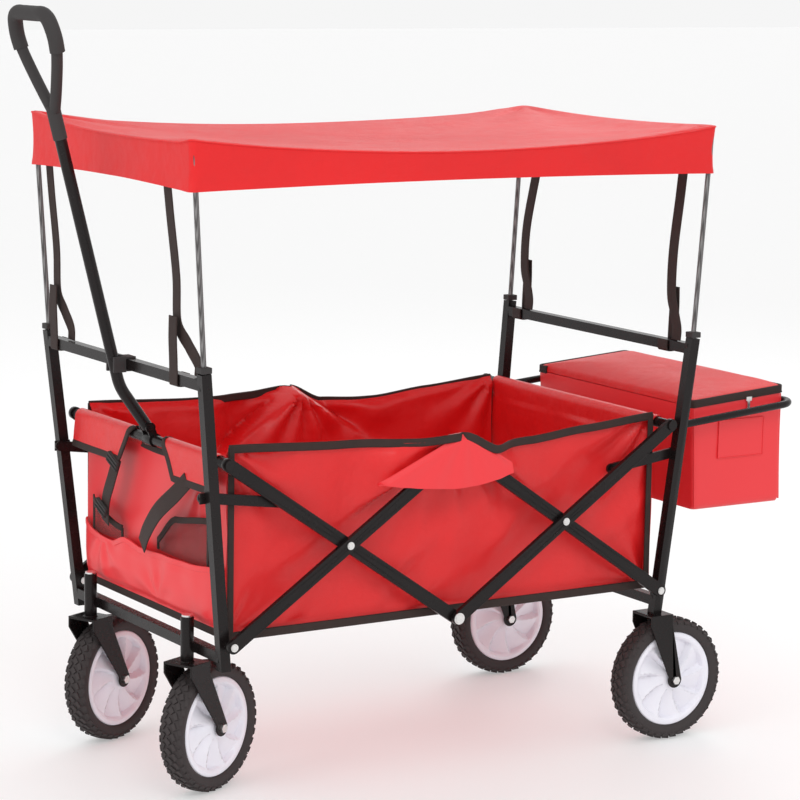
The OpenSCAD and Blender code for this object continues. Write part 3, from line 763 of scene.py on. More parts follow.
def make_side_wall(side):
    word = "left" if side > 0 else "right"
    half_length, height = 382, 284.0
    length = 2.0 * half_length
    y_out = WALL_Y + 2.2

    def point(u, v):
        x = -half_length + length * u
        z = TUB_LOW + 2 + (side_top(x, side) - TUB_LOW - 2) * v
        stands = y_out + top_bulge(x, z, side) - max(0.0, wall_inset(x, z, side))
        return spot(x, side * stands, z)

    wall = grid(f"tub_wall_{word}", 150, 60, point, (length * MM, height * MM))
    thick(wall, TUB_CLOTH, "red_lining", "red_cloth", offset=side, material_offset=1)
    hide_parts(f"side_wall_{word}")
    pieces = [wall]
    tape = cloth_settings().binding
    xs = [-TUB_END + 2 * TUB_END * k / 120 for k in range(121)]
    y_tape = side * (y_out - 0.8)
    edge = [spot(x, y_tape + side * top_bulge(x, side_top(x, side), side), side_top(x, side) - 4.5)
            for x in xs]
    pieces.append(tape_piece(f"tub_top_tape_{word}", edge, tape))
    foot = [spot(x, y_tape, TUB_LOW + 6) for x in xs]
    pieces.append(tape_piece(f"tub_foot_tape_{word}", foot, tape * 1.05))
    for name, x in (("front", 379.5), ("rear", -379.5)):
        rise = side_top(x, side) - TUB_LOW - 6
        post = [spot(x, y_tape + side * 0.3, TUB_LOW + 4 + rise * k / 24) for k in range(25)]
        pieces.append(tape_piece(f"tub_corner_tape_{name}_{word}", post, tape * 0.8,
                                 Vector((1, 0, 0))))
    pieces.append(make_flap(side, word))
    for piece in pieces:
        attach(piece, "tub")
        "webbing" if "tape" in piece.name else "red_cloth"
        spot(-TUB_END, 0, 400)
        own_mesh(piece)


def tape_piece(name, path, width, up=Vector((0, 0, 1)), thickness=0.0034):
    """Binding tape folded over an edge, its width along up."""
    section = [(b, a) for a, b in flat_section(width, thickness)]
    return swept("webbing_tape", name, path, section, up=up)


# lower edge of the fan-shaped flap, as (x, z)
FLAP_FOOT = ((-92, 470), (-64, 462), (-24.5, 455.5), (15, 454),
             (73, 459.5), (104, 463.5), (131, 468), (150, 472))


def make_flap(side, word):
    """Fan-shaped flap that covers the top-centre pivots."""
    rear, fore = -92.0, 150.0
    outside = node_box("side_wall_left")[1].y - 0.5

    def point(u, v):
        x = rear + (fore - rear) * u
        roof = flap_roof(x, side)
        foot = min(between(FLAP_FOOT, x), roof - 1)
        z = roof - v * (roof - foot)
        fallen = roof - z
        ends = step(0, 26, min(x - rear, fore - x))
        y = outside - 5.0 * (1 - step(0, 10, fallen)) * ends - 6.0 * (1 - ends) * (1 - v)
        fan = math.atan2(x + 4, 560 - z)
        rise = math.sin(fan * 13 + 0.8) + 0.8 * ripple(x, z, 6.0, 45) - 0.9
        return spot(x, side * (y + min(0.0, rise) * step(4, 30, fallen)), z)

    flap = grid(f"pivot_flap_{word}", 80, 50, point, (0.242, 0.13))
    thick(flap, 0.0014, "red_cloth")
    return flap


def make_floor():
    half_x, half_y = 378, 226

    def point(u, v):
        x, y = half_x * (2 * u - 1), half_y * (2 * v - 1)
        to_fold = min(abs(x - fold) for fold in (-half_x / 2, 0, half_x / 2))
        groove = -1.2 * math.exp(-(to_fold / 4.0) ** 2)
        edge = step(0, 14, half_x - abs(x)) * step(0, 14, half_y - abs(y))
        return spot(x, y, 255.4 + edge * (1.0 + groove + 0.5 * ripple(x, y, 1.0, 90)))

    floor = grid("tub_floor", 120, 60, point, (0.756, 0.452))
    thick(floor, 0.0026, "red_lining", offset=-1)
    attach(floor, "tub")
    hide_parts("floor_panel")
    spot(-TUB_END, 0, 255)
    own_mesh(floor)


def over_rail(rail_x, rail_z, radius, inward, outward_end, inner_low, t):
    """A point (x, z) on cloth that rises inside the tub, passes over a rail and hangs outside."""
    s = 1 if rail_x > 0 else -1
    rise = rail_z - inner_low
    arc = math.pi * radius
    fall = rail_z - outward_end
    total = rise + arc + fall
    d = t * total
    if d < rise:
        return rail_x - s * radius - s * inward * (1 - step(0.5, 1, d / rise)), inner_low + d
    if d < rise + arc:
        a = math.pi - (d - rise) / radius
        return rail_x + s * radius * math.cos(a), rail_z + radius * math.sin(a)
    fallen = d - rise - arc
    return rail_x + s * (radius + 3.5 * (fallen / max(fall, 1)) ** 1.5), rail_z - fallen


def make_rear_wall():
    radius, half_y = 10.4, 230.5

    def point(u, v):
        y = -half_y + 2 * half_y * u
        x, z = over_rail(-RAIL.x, RAIL.z, radius, -3.5, RAIL.z - 5, TUB_LOW + 2, v)
        soft = step(0, 20, z - TUB_LOW) * step(0, 25, RAIL.z - z)
        folds = ripple(y, z, 12.0, 120) + 0.5 + 0.6 * rays(y, z, 230, RAIL.z, 9, 120)
        if v < 0.8:
            x += max(0.0, folds * 4.0 * soft)
        return spot(x, y, z)

    wall = grid("tub_wall_rear", 90, 70, point, (0.461, 0.30))
    thick(wall, TUB_CLOTH, "red_lining")
    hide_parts("rear_wall")
    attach(wall, "tub")
    for word, y in (("left", half_y), ("right", -half_y)):
        edge = [spot(-RAIL.x + 13.6, y, TUB_LOW + 4 + (RAIL.z - TUB_LOW - 8) * k / 20)
                for k in range(21)]
        tape = tape_piece(f"rear_corner_tape_{word}", edge, 0.009, Vector((0, 1, 0)))
        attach(tape, "tub")


def make_front_panel():
    half_y, top_z = 231, RAIL.z - 17

    def wall_point(u, v):
        y = -half_y + 2 * half_y * u
        z = TUB_LOW + 2 + (top_z - TUB_LOW - 2) * v
        soft = step(0, 20, z - TUB_LOW) * step(0, 20, top_z - z)
        folds = ripple(y, z, 21.0, 110) + 0.7 * rays(y, z, 150, 478, 11, 110) + 0.4
        return spot(FRONT_WALL_X + max(-1.0, folds * 2.6) * soft * 0.9, y, z)

    wall = grid("tub_wall_front", 100, 60, wall_point, (0.462, 0.255))
    thick(wall, TUB_CLOTH, "red_cloth")
    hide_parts("front_wall")
    pieces = [wall, *front_flaps(), *front_pouch(), *front_nets(), *front_straps()]
    tape = cloth_settings().binding
    hem = [spot(FRONT_WALL_X + 1.0, -half_y + 2 * half_y * k / 60, TUB_LOW + 6) for k in range(61)]
    pieces.append(tape_piece("front_foot_tape", hem, tape))
    neck = [spot(FRONT_WALL_X + 0.4, -46 + 118 * k / 20, top_z - 2.5 * math.sin(math.pi * k / 20))
            for k in range(21)]
    pieces.append(tape_piece("front_neck_tape", neck, tape * 0.8))
    for piece in pieces:
        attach(piece, "front_panel")
        ("webbing" if any(w in piece.name for w in ("tape", "strap", "net")) else
                "black_plastic" if "buckle" in piece.name else "red_cloth")


def front_flaps():
    """The two flaps that wrap the top rail beside the handle and hang in front."""
    made = []
    bottom, drop, half_gap, half_y = RAIL.z - 42, 0.095, 54, 230.5
    for word, y0, y1, slant in (("left", HANDLE_Y + half_gap, half_y, 48),
                                ("right", -half_y, HANDLE_Y - half_gap, -26)):

        def point(u, v, y0=y0, y1=y1, slant=slant):
            x, z = over_rail(RAIL.x, RAIL.z, 11.0, 0.0, bottom, RAIL.z - 18, v)
            hang = max(0.0, (v - 0.45) / 0.55)
            low, high = y0 + max(0, slant) * hang, y1 + min(0, slant) * hang
            y = low + (high - low) * u
            soft = hang * (1.5 + ripple(y, z, 31.0, 55) * 3.0)
            return spot(x + max(0.0, soft), y, z)

        wide = (y1 - y0) * MM
        flap = grid(f"rail_flap_{word}", 60, 48, point, (wide, drop))
        thick(flap, TUB_CLOTH, "red_lining")
        made.append(flap)
        end = 0 if word == "left" else 1
        edge = [point(end, 0.30 + 0.70 * k / 16) for k in range(17)]
        far = 1 - end
        edge += [point(end + (far - end) * k / 24, 1.0) for k in range(1, 25)]
        made.append(swept("webbing_tape", f"rail_flap_tape_{word}", edge,
                          flat_section(0.011, 0.0036), up=Vector((1, 0, 0.25))))
    return made


# mouth of the front pouch, as (y, z)
POUCH_EDGE = ((-226, 356), (-186, 342), (-120, 338), (-70, 353),
              (-20, 346), (60, 350), (140, 352), (226, 360))


def pouch_front(y, t):
    """How far the pouch stands off the wall, in millimetres."""
    round_off = math.sqrt(max(0.0, 1 - (y / 228) ** 6))
    mouth = 0.45 + 0.55 * step(0, 0.5, t) * (1 - 0.35 * step(0.75, 1, t))
    return 2.0 + 13.5 * round_off * mouth


def front_pouch():
    """The pouch on the front wall, with the hem along its mouth."""
    low = TUB_LOW + 13

    def point(u, v):
        y = -228 + 456 * u
        top = between(POUCH_EDGE, y)
        z = low + (top - low) * v
        folds = 3.0 * rays(y, z, -150, 345, 7, 80) + 3.2 * ripple(y, z, 41.0, 55)
        folds += 2.6 * rays(y, z, 40, 275, 7, 70, 1.0)
        soft = step(0, 0.12, v) * step(0, 0.05, u) * step(0, 0.05, 1 - u)
        stands = pouch_front(y, v) * (0.15 + 0.85 * step(0, 0.18, v))
        return spot(POUCH_X + stands + folds * soft, y, z)

    pouch = grid("front_pouch_cloth", 120, 44, point, (0.456, 0.09))
    thick(pouch, 0.0015, "red_cloth")
    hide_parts("front_pouch")
    hem = [point(k / 80, 1.0) + Vector((0.0012, 0, -0.004)) for k in range(81)]
    section = [(b, a) for a, b in flat_section(0.009, 0.0022)]
    return [pouch, swept("red_cloth", "front_pouch_hem", hem, section)]


def front_nets():
    """The two net pockets over the pouch, with tape round their edges."""
    made = []
    # each: side, y of its two sides, its top edge as (y, z), z of its foot
    nets = (("left", 26, 186, ((26, 366), (100, 412), (186, 424)), 352),
            ("right", -196, -96, ((-196, 394), (-140, 376), (-96, 362)), 342))
    for word, y0, y1, top, base in nets:
        def point(u, v, y0=y0, y1=y1, top=top, base=base):
            y = y0 + (y1 - y0) * u
            z = base + (between(top, y) - base) * v
            bulge = 9 * math.sin(math.pi * u) ** 0.7 * (0.5 + 0.5 * v)
            return spot(POUCH_X + 5.5 + bulge, y, z)

        wide = (y1 - y0) * MM
        net = grid(f"pocket_net_{word}", 40, 24, point, (wide, 0.07))
        made.append(thick(net, 0.0008, "pocket_net"))
        rim = [point(k / 24, 1.0) + Vector((0.001, 0, 0)) for k in range(25)]
        made.append(tape_piece(f"pocket_tape_{word}", rim, 0.010, thickness=0.003))
        for tag, u in (("a", 0.0), ("b", 1.0)):
            seam = [point(u, k / 10) + Vector((0.0006, 0, 0)) for k in range(11)]
            made.append(tape_piece(f"pocket_side_tape_{tag}_{word}", seam, 0.006,
                                   Vector((0, 1, 0)), 0.0026))
    return made


def strap(name, points, width, facing=Vector((1, 0, 0))):
    """Flat webbing through the points, its face turned towards facing."""
    return swept("webbing_tape", name, curve_through(points, 10), flat_section(width, WEBBING),
                 up=facing)


def buckle(name, centre, wide, tall, turn):
    """Ladder buckle: a block with three bars standing proud of it."""
    parts = [block(name, Vector(), (0.004, wide, tall), bevel=0.0012)]
    for k in (-1, 0, 1):
        parts.append(block(f"{name}_bar", Vector((0.002, 0, k * tall * 0.36)),
                           (0.004, wide * 1.04, tall * 0.16), bevel=0.0008))
    obj = joined(name, parts)
    obj.data.transform(Matrix.Translation(centre) @ turn)
    return wear(smooth(obj, 40), "black_plastic")


def front_straps():
    """The two straps on the front panel and their buckles."""
    x = RAIL.x
    left = [spot(x + 15.5, 158, RAIL.z - 38), spot(x + 22, 132, 458), spot(x + 27, 86, 424),
            spot(x + 22, 40, 386), spot(x + 13, 6, 356)]
    right = [spot(x + 14, -76, RAIL.z - 42), spot(x + 17, -92, 440), spot(x + 16, -112, 405),
             spot(x + 10, -126, 368)]
    made = [strap("front_strap_left", left, 0.028), strap("front_strap_right", right, 0.026)]
    tilt = Matrix.Rotation(math.radians(-24), 4, "X")
    for k, (y, z) in enumerate(((-80, 472), (-121, 392))):
        made.append(buckle(f"strap_buckle_{k}", spot(x + 19, y, z), 0.034, 0.018, tilt))
    return made


# ---- rear bag ----


def bag_rim(x):
    """Height of the bag's rim, which rises towards its rear."""
    return BAG_HIGH.z - 6 + (BAG_HIGH.x - x) * 0.075


def bag_outline(level):
    """The bag's outline at a level from 0, its floor, to 1, its rim."""
    front = BAG_HIGH.x - 8 * (1 - level)
    rear = BAG_LOW.x - 4 * (1 - level)
    half_y = BAG_HIGH.y - (1 - level)
    bulge = 2.5 * math.sin(math.pi * level)
    cx, half_x = (front + rear) / 2, (front - rear) / 2
    points = rounded_outline(half_x - 1, half_y - 1, 7, 24, 5)
    out = []
    for x, y in points:
        soft = bulge * (0.5 + ripple(x + y, level * 90, 51.0, 60))
        out.append((cx + x * (1 - soft / half_x * 0.6), y * (1 - soft / half_y * 0.6)))
    return out


def make_bag():
    base = BAG_LOW.z - 7
    rings = []
    floor = bag_outline(0)
    cx = sum(p[0] for p in floor) / len(floor)
    for share, drop in ((0.2, -1.0), (0.5, -1.0), (0.8, -0.6), (0.93, 0.0), (0.98, 0.8)):
        rings.append([spot(cx + (x - cx) * share, y * share, base + 2 + drop) for x, y in floor])
    for k in range(1, 29):
        level = k / 28
        ring = []
        for x, y in bag_outline(level):
            top = bag_rim(x)
            ring.append(spot(x, y, base + 3 + (top - base - 3) * level))
        rings.append(ring)
    body = mesh_from_rings("bag_cloth", rings, start_cap=True)
    face_outwards(body)
    modify(body, "SOLIDIFY", thickness=0.0022, offset=-1, material_offset=1)
    wear(smooth(body, 55), "red_cloth", "red_lining")
    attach(body, "rear_frame")
    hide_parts("bag_body")
    make_bag_lid()
    make_bag_details()


def make_bag_lid():
    lid_rise = 9.5
    outline = bag_outline(1)
    cx = sum(p[0] for p in outline) / len(outline)
    rings = []
    for k in range(1, 22):
        share = (k / 22) ** 0.8
        ring = []
        for x, y in outline:
            px, py = cx + (x - cx) * share, y * share
            dome = 17.0 * (1 - share ** 3.2) + 1.6 * ripple(px, py, 61.0, 80) * (1 - share ** 4)
            ring.append(spot(px, py, bag_rim(px) + lid_rise + dome))
        rings.append(ring)
    for inset, drop in ((1.2, 0.6), (0.2, 2.2), (0.0, 8.4)):
        rings.append([spot(x + (cx - x) * inset / 93, y * (1 - inset / 220),
                           bag_rim(x) + lid_rise - drop) for x, y in outline])
    lid = mesh_from_rings("bag_lid_cloth", rings, start_cap=True)
    face_outwards(lid)
    modify(lid, "SOLIDIFY", thickness=0.002, offset=-1, material_offset=1)
    wear(smooth(lid, 55), "red_canopy", "red_lining")
    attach(lid, "bag_lid")
    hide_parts("bag_lid")
    # zip tape round the lid, with its row of teeth
    lined = [(x, y) for x, y in outline if x < BAG_HIGH.x - 10 or abs(y) > BAG_HIGH.y - 30]
    first = next(i for i in range(1, len(lined)) if math.dist(lined[i], lined[i - 1]) > 60)
    lined = lined[first:] + lined[:first]
    band = [spot(x, y, bag_rim(x) + 5.2) for x, y in lined]
    tape = tape_piece("bag_zip_tape", band, 0.0125, thickness=0.0040)
    edge = [spot(x + (x - cx) * 0.012, y * 1.005, bag_rim(x) - 0.6) for x, y in lined]
    teeth = swept("webbing_tape", "bag_zip_teeth", edge, round_section(0.0013, 8), 38)
    for piece in (tape, teeth):
        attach(piece, "bag_lid")


def make_bag_details():
    face = BAG_HIGH.y
    cx = (BAG_HIGH.x + BAG_LOW.x) / 2 - 6

    def patch_point(u, v):
        x, z = cx + 44 - 92 * u, BAG_LOW.z + 78 + 62 * v
        level = (z - BAG_LOW.z) / (BAG_HIGH.z - BAG_LOW.z)
        return spot(x, face - (1 - level) - 0.4 - 0.6 * math.sin(math.pi * level), z)

    patch = grid("bag_patch", 30, 20, patch_point, (0.092, 0.062))
    thick(patch, TUB_CLOTH, "red_cloth")
    edge = [patch_point(a, b) + Vector((0, 0.0012, 0)) for a, b in
            [(k / 16, 0.0) for k in range(16)] + [(1.0, k / 12) for k in range(12)]
            + [(1 - k / 16, 1.0) for k in range(16)] + [(0.0, 1 - k / 12) for k in range(12)]]
    stitch = swept("red_cloth", "bag_patch_stitch", edge, round_section(0.0007, 6), 38,
                   up=Vector((0, 1, 0)), closed=True)
    pieces = [patch, stitch]
    # loops that hang the bag on the hoop's rear run
    low, high = node_box("bag_hoop")
    hoop_x, hoop_z = low.x + 6, high.z - 6
    for k, y in enumerate((130, -130)):
        x0, middle, reach = BAG_LOW.x + 1.5, (BAG_LOW.x + 1.5 + hoop_x) / 2, 7.4
        line = curve_through([spot(x0, y, hoop_z - 3), spot(middle, y, hoop_z + 5),
                              spot(hoop_x, y, hoop_z + reach), spot(hoop_x - reach, y, hoop_z),
                              spot(hoop_x, y, hoop_z - reach), spot(middle, y, hoop_z - 8),
                              spot(x0, y, hoop_z - 14)], 6)
        outward = [(p - spot(hoop_x, y, hoop_z)).normalized() for p in line]
        pieces.append(swept("webbing_tape", f"bag_loop_{k}", line, flat_section(0.024, 0.0016),
                            up=outward))
    # piping down the upright corners
    for word, sx, sy in (("front_left", 1, 1), ("front_right", 1, -1),
                         ("rear_left", -1, 1), ("rear_right", -1, -1)):
        seam = []
        for j in range(15):
            level = 0.02 + 0.96 * j / 14
            x, y = max(bag_outline(level), key=lambda p: p[0] * sx + p[1] * sy)
            seam.append(spot(x, y, BAG_LOW.z - 4 + (bag_rim(x) - BAG_LOW.z + 4) * level))
        pieces.append(swept("red_cloth", f"bag_seam_{word}", seam, round_section(0.0013, 8), 38,
                            up=Vector((0, 1, 0))))
    for piece in pieces:
        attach(piece, "rear_frame")
        "webbing" if "loop" in piece.name else "red_cloth"


# ---- canopy straps ----


# line of a strap's end round the cross bar, as (outwards, up) from the bar's middle
WRAP = ((11, 92), (11.5, 60), (10.4, 30), (9.8, 8), (9.8, -6),
        (7.5, -9.6), (-6, -9.8), (-9.8, -6), (-9.8, 8))


def make_canopy_straps():
    width = cloth_settings().strap
    bar_low, bar_high = node_box("front_upper_bar")
    bar_x, bar_z = (bar_low.x + bar_high.x) / 2, bar_low.z + 8
    # each: end, y at the canopy, y where it parts in two, y of the branch's foot
    lines = (("front_left", 1, 160, 181, 234), ("front_right", 1, -238, -224, -188),
             ("rear_left", -1, 210, 196, 222), ("rear_right", -1, -186, -222, -196))
    for word, end, y_top, y_fork, y_foot in lines:
        top_x, low_x = end * (CANOPY_HIGH.x - 16), end * bar_x
        fork_x = low_x + end * 4
        down = y_fork - y_top
        band = strap(f"canopy_strap_{word}", [
            spot(top_x, y_top, 954), spot(top_x - end * 3, y_top + down * 0.45, 880),
            spot(fork_x + end, y_top + down * 0.9, 790), spot(fork_x, y_fork + 1, 722),
            spot(low_x + end, y_fork + (y_foot - y_fork) * 0.55, 692),
            spot(low_x - end * 2, y_foot, 668), spot(low_x - end * 3, y_foot, bar_z + 9.4)],
            width * 0.92, Vector((end, 0, 0.03)))
        path = curve_through([spot(low_x + end * a, y_fork, bar_z + b) for a, b in WRAP], 5)
        outward = [(p - spot(low_x, y_fork, min(bar_z, millimetres(p).z))).normalized()
                   for p in path]
        wrap = swept("webbing_tape", f"canopy_strap_wrap_{word}", path,
                     flat_section(width, WEBBING), up=outward)
        body = "front_frame" if end > 0 else "rear_frame"
        for piece in (band, wrap):
            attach(piece, body)
        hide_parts("front_canopy_straps" if end > 0 else "rear_canopy_straps")


# ---- wheels ----


RIM = 0.0768  # radius at which the tyre meets the disc


def make_tyre_mesh(name):
    """A tyre about the Y axis: a carcass with five rows of slanting blocks."""
    settings = wheel_settings()
    outer, half = 0.1, 0.020
    knob = settings.block_height
    carcass = outer - knob
    profile = [(RIM, -half + 0.005), (RIM + 0.002, -half + 0.0026), (RIM + 0.006, -half + 0.0012),
               (RIM + 0.011, -half + 0.0004), (carcass - 0.006, -half + 0.0012),
               (carcass - 0.0025, -half + 0.0045), (carcass - 0.0008, -half + 0.010), (carcass, 0)]
    profile += [(r, -y) for r, y in reversed(profile[:-1])]
    profile.append(profile[0])
    body = mesh_from_rings(name, spin_rings(profile, 120))
    face_outwards(body)
    smooth(body, 40)
    parts = [body]
    depth = knob + 0.003  # a block and its root inside the carcass
    # each row: y, length, width, phase, slant in degrees, whether it lies on the shoulder
    rows = ((0.0, 0.0105, 0.0078, 0, 45, False),
            (0.0098, 0.0115, 0.0070, 0.5, 28, False), (-0.0098, 0.0115, 0.0070, 0.5, -28, False),
            (0.0172, 0.0100, 0.0060, 0.0, 12, True), (-0.0172, 0.0100, 0.0060, 0.0, -12, True))
    for y, long, wide, phase, slant, shoulder in rows:
        height = outer - depth / 2 - abs(y) * 0.06 - (0.0042 if shoulder else 0.0)
        tip = math.copysign(math.radians(42), -y) if shoulder else 0.0
        lug = block("lug", Vector(), (long * 0.90, wide * 0.90, depth))
        row = [lug] + [parts_copy(lug) for _ in range(settings.blocks - 1)]
        for i, lug in enumerate(row):
            a = 2 * math.pi * (i + phase) / settings.blocks
            lug.matrix_world = (
                Matrix.Rotation(-a, 4, "Y") @ Matrix.Translation((height, y, 0))
                @ Matrix.Rotation(math.radians(90), 4, "Y") @ Matrix.Rotation(tip, 4, "X")
                @ Matrix.Rotation(math.radians(slant), 4, "Z"))
        parts += row
    select_only(*parts)
    bpy.ops.object.transform_apply(location=True, rotation=True, scale=True)
    return wear(joined(name, parts), "tyre_rubber")


def parts_copy(obj):
    copy = obj.copy()
    copy.data = obj.data.copy()
    bpy.context.collection.objects.link(copy)
    return copy


def make_disc_mesh(name):
    """A wheel disc about the Y axis, its face cut into slanting blades."""
    blades = wheel_settings().blades
    face = ((0.0046, 0.0188), (0.0125, 0.0188), (0.0145, 0.0182), (0.0165, 0.0176),
            (0.0185, 0.0170), (0.026, 0.0160), (0.036, 0.0154), (0.046, 0.0150),
            (0.056, 0.0150), (0.063, 0.0152), (0.0662, 0.0154), (0.0680, 0.0160),
            (0.0690, 0.0168), (0.0735, 0.0168), (0.0755, 0.0160), (RIM, 0.0140))
    profile = [(r, -y) for r, y in face] + [(r, y) for r, y in reversed(face)]
    profile.append(profile[0])
    blade_depth, ramp = 0.0105, 0.82

    def shape(radius, y, a):
        if not 0.0186 < radius < 0.0665:
            return radius, y
        turn = (a + 5.0 * radius) / (2 * math.pi) * blades
        part = turn - math.floor(turn)
        saw = part / ramp if part < ramp else (1 - part) / 0.18
        fade = step(0.0165, 0.034, radius) * (1 - step(0.0630, 0.0666, radius))
        return radius, y - math.copysign(blade_depth * saw * fade, y)

    disc = mesh_from_rings(name, spin_rings(profile, 36 * 4 + blades * 2, shape))
    face_outwards(disc)
    return wear(smooth(disc, 24), "disc_plastic")


def make_wheels():
    tyre = make_tyre_mesh("wheel_tyre_front_left")
    disc = make_disc_mesh("wheel_disc_front_left")
    turned = {"front": 24, "rear": 0}  # degrees that the casters stand turned
    stopped = {"left": 11, "right": 37}  # degrees at which the wheels came to rest
    spins = {("front", "left"): "spin_front_left", ("front", "right"): "spin_front_right",
             ("rear", "left"): "spin_rear_left", ("rear", "right"): "spin_rear_right"}
    made = []
    for (end, side), spin in spins.items():
        for kind, source in (("tyre", tyre), ("disc", disc)):
            obj = source if (end, side) == ("front", "left") else parts_copy(source)
            obj.name = obj.data.name = f"wheel_{kind}_{end}_{side}"
            made.append((obj, kind, end, side, spin))
    for obj, kind, end, side, spin in made:
        centre = joint_place(spin)
        yaw = Matrix.Rotation(math.radians(turned[end]), 4, "Z")
        roll = Matrix.Rotation(math.radians(stopped[side]), 4, "Y")
        obj.data.transform(Matrix.Translation(centre) @ yaw @ roll)
        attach(obj, f"wheel_{end}_{side}")
        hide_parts(f"{kind}_{end}_{side}")
        "tyre_rubber" if kind == "tyre" else "white_plastic"


# ---- pull handle ----


def make_handle():
    """The tube from the bracket to the grip, the grip's loop, its sleeve and the collar."""
    straight, curve = 420, 15  # lengths above the bend, and on either side of it that curve
    lean = math.radians(14.5)
    side = Vector((0, 1, 0))
    bend = Vector((RAIL.x + 54, HANDLE_Y, RAIL.z + 84))
    top = bend + Vector((math.sin(lean), 0, math.cos(lean))) * straight
    foot = Vector((BOLT.x, HANDLE_Y, BOLT.z))
    up = (top - bend).normalized()
    low = (bend - foot).normalized()
    face = up.cross(side)

    def on_grip(pairs):
        """Places from (across, above) pairs measured at the shaft's top."""
        return [top + side * a + up * b for a, b in pairs]

    def part(name, look, places, radius, count, facing, angle=WEBBING_ANGLE, closed=False):
        return swept(look, name, [spot(*p) for p in places], round_section(radius, count), angle,
                     up=facing, closed=closed)

    path = [foot + low * (6 * k) for k in range(11)]
    for k in range(1, 12):
        t = k / 12
        path.append((bend - low * curve) * (1 - t) ** 2 + bend * 2 * t * (1 - t)
                    + (bend + up * curve) * t * t)
    path += [bend + up * (curve + (straight - curve) * k / 16) for k in range(17)]
    tube = part("handle_tube", "painted_tube", path, 0.009, 28, side)
    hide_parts("handle_shaft")
    high = 155
    lobe = [(0, 8), (13, 22), (33, 52), (52, 84), (63.5, 110), (64, 130), (57, 146), (44, 154),
            (22, high)]
    left = [(-a, b) for a, b in reversed(lobe)]
    ring = curve_through(on_grip(lobe + left[:-1]), 7, closed=True)
    loop = part("handle_loop", "black_plastic", ring, 0.0084, 24, face, closed=True)
    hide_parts("handle_grip")
    half = [(62, 100), (64.5, 122), (58, 145), (44, 154.4), (22, high)]
    pairs = [*half, (0, high), *((-a, b) for a, b in reversed(half))]
    sleeve = part("handle_sleeve", "black_plastic", curve_through(on_grip(pairs), 7),
                  0.0112, 24, face)
    collar = part("handle_collar", "black_plastic",
                  on_grip([(0, b) for b in (-34, -33, 2, 12, 17)]), 0.0106, 28, side, 40)
    for piece in (tube, loop, sleeve, collar):
        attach(piece, "handle")


# ---- frame finishes ----


def dress_frame():
    """Finishes and rounded edges for the steel and plastic parts of the frame."""
    looks = {"black_steel": "painted_tube", "zinc": "zinc_plate", "grey_tube": "drawn_rod",
             "black_plastic": "black_plastic", "webbing": "webbing_tape", "red_cloth": "red_cloth",
             "white_plastic": "disc_plastic", "tyre_rubber": "tyre_rubber"}
    slots = {s["node"]: s["material_slot"] for s in frame["record"]["subparts"]}
    for name, obj in frame["nodes"].items():
        if obj.hide_render:
            continue
        obj.data.materials.clear()
        obj.data.materials.append(finish(looks[slots[name]]))
        if slots[name] in ("black_steel", "zinc", "black_plastic"):
            weld = obj.modifiers.new("Weld", "WELD")
            weld.merge_threshold = 0.00002
            edge = obj.modifiers.new("Bevel", "BEVEL")
            edge.width = metal_settings().bevel * (0.5 if slots[name] == "zinc" else 1.0)
            edge.segments = 2
            edge.limit_method = "ANGLE"
            edge.angle_limit = math.radians(35)
            edge.use_clamp_overlap = True
            edge.harden_normals = False


# ---- stage ----


def make_stage():
    bpy.ops.object.select_all(action="DESELECT")
    bpy.ops.mesh.primitive_plane_add(size=60, location=(0, 0, 0))
    floor = bpy.context.object
    floor.name = "studio_floor"
    f = Finish("studio_floor")
    f.set(Base_Color=(0.62, 0.62, 0.62, 1), Roughness=0.6,
          Emission_Color=(1, 1, 1, 1), Emission_Strength=0.33)
    floor.data.materials.append(f.material)
    world = bpy.data.worlds.new("studio")
    bpy.context.scene.world = world
    world.use_nodes = True
    world.node_tree.nodes["Background"].inputs["Color"].default_value = (1, 1, 1, 1)
    world.node_tree.nodes["Background"].inputs["Strength"].default_value = 0.92
    bpy.context.scene.view_settings.view_transform = "Standard"
    centre = Vector((0, 0, 0.6))
    # each light: name, place, size in metres, power in watts
    for name, place, size, power in (("key", (1.2, 3.4, 3.4), 1.6, 34),
                                     ("fill", (4.2, 1.0, 2.2), 1.4, 20),
                                     ("back", (-2.6, -2.4, 3.2), 1.6, 24)):
        light = bpy.data.lights.new(name, "AREA")
        light.energy, light.size = power, size
        obj = bpy.data.objects.new(name, light)
        bpy.context.collection.objects.link(obj)
        obj.location = place
        obj.rotation_mode = "QUATERNION"
        obj.rotation_quaternion = (centre - Vector(place)).to_track_quat("-Z", "Y")
    place_camera()


CAMERA_PLACE = (2361.2, 3865.0, 1282.9)
CAMERA_TURN = (-122.004, 9.183, 0.964)  # yaw, downward pitch and roll, in degrees
SENSOR_WIDTH = 36
LENS = 129.78


def place_camera():
    yaw, pitch, roll = (math.radians(a) for a in CAMERA_TURN)
    look = Vector((math.cos(yaw) * math.cos(pitch), math.sin(yaw) * math.cos(pitch),
                   -math.sin(pitch)))
    right = look.cross(Vector((0, 0, 1))).normalized()
    up = right.cross(look)
    across = right * math.cos(roll) + up * math.sin(roll)
    over = up * math.cos(roll) - right * math.sin(roll)
    data = bpy.data.cameras.new("studio_camera")
    data.sensor_width, data.lens = SENSOR_WIDTH, LENS
    camera = bpy.data.objects.new("studio_camera", data)
    bpy.context.collection.objects.link(camera)
    camera.matrix_world = Matrix((across, over, -look)).transposed().to_4x4()
    camera.location = spot(*CAMERA_PLACE)
    data.clip_end = 60
    bpy.context.scene.camera = camera


# ---- add-on ----


class WAGON_OT_canopy(bpy.types.Operator):
    """Make the canopy and its seam"""

    bl_idname = "wagon.canopy"
    bl_label = "Canopy"

    def execute(self, context):
        make_canopy()
        return {"FINISHED"}


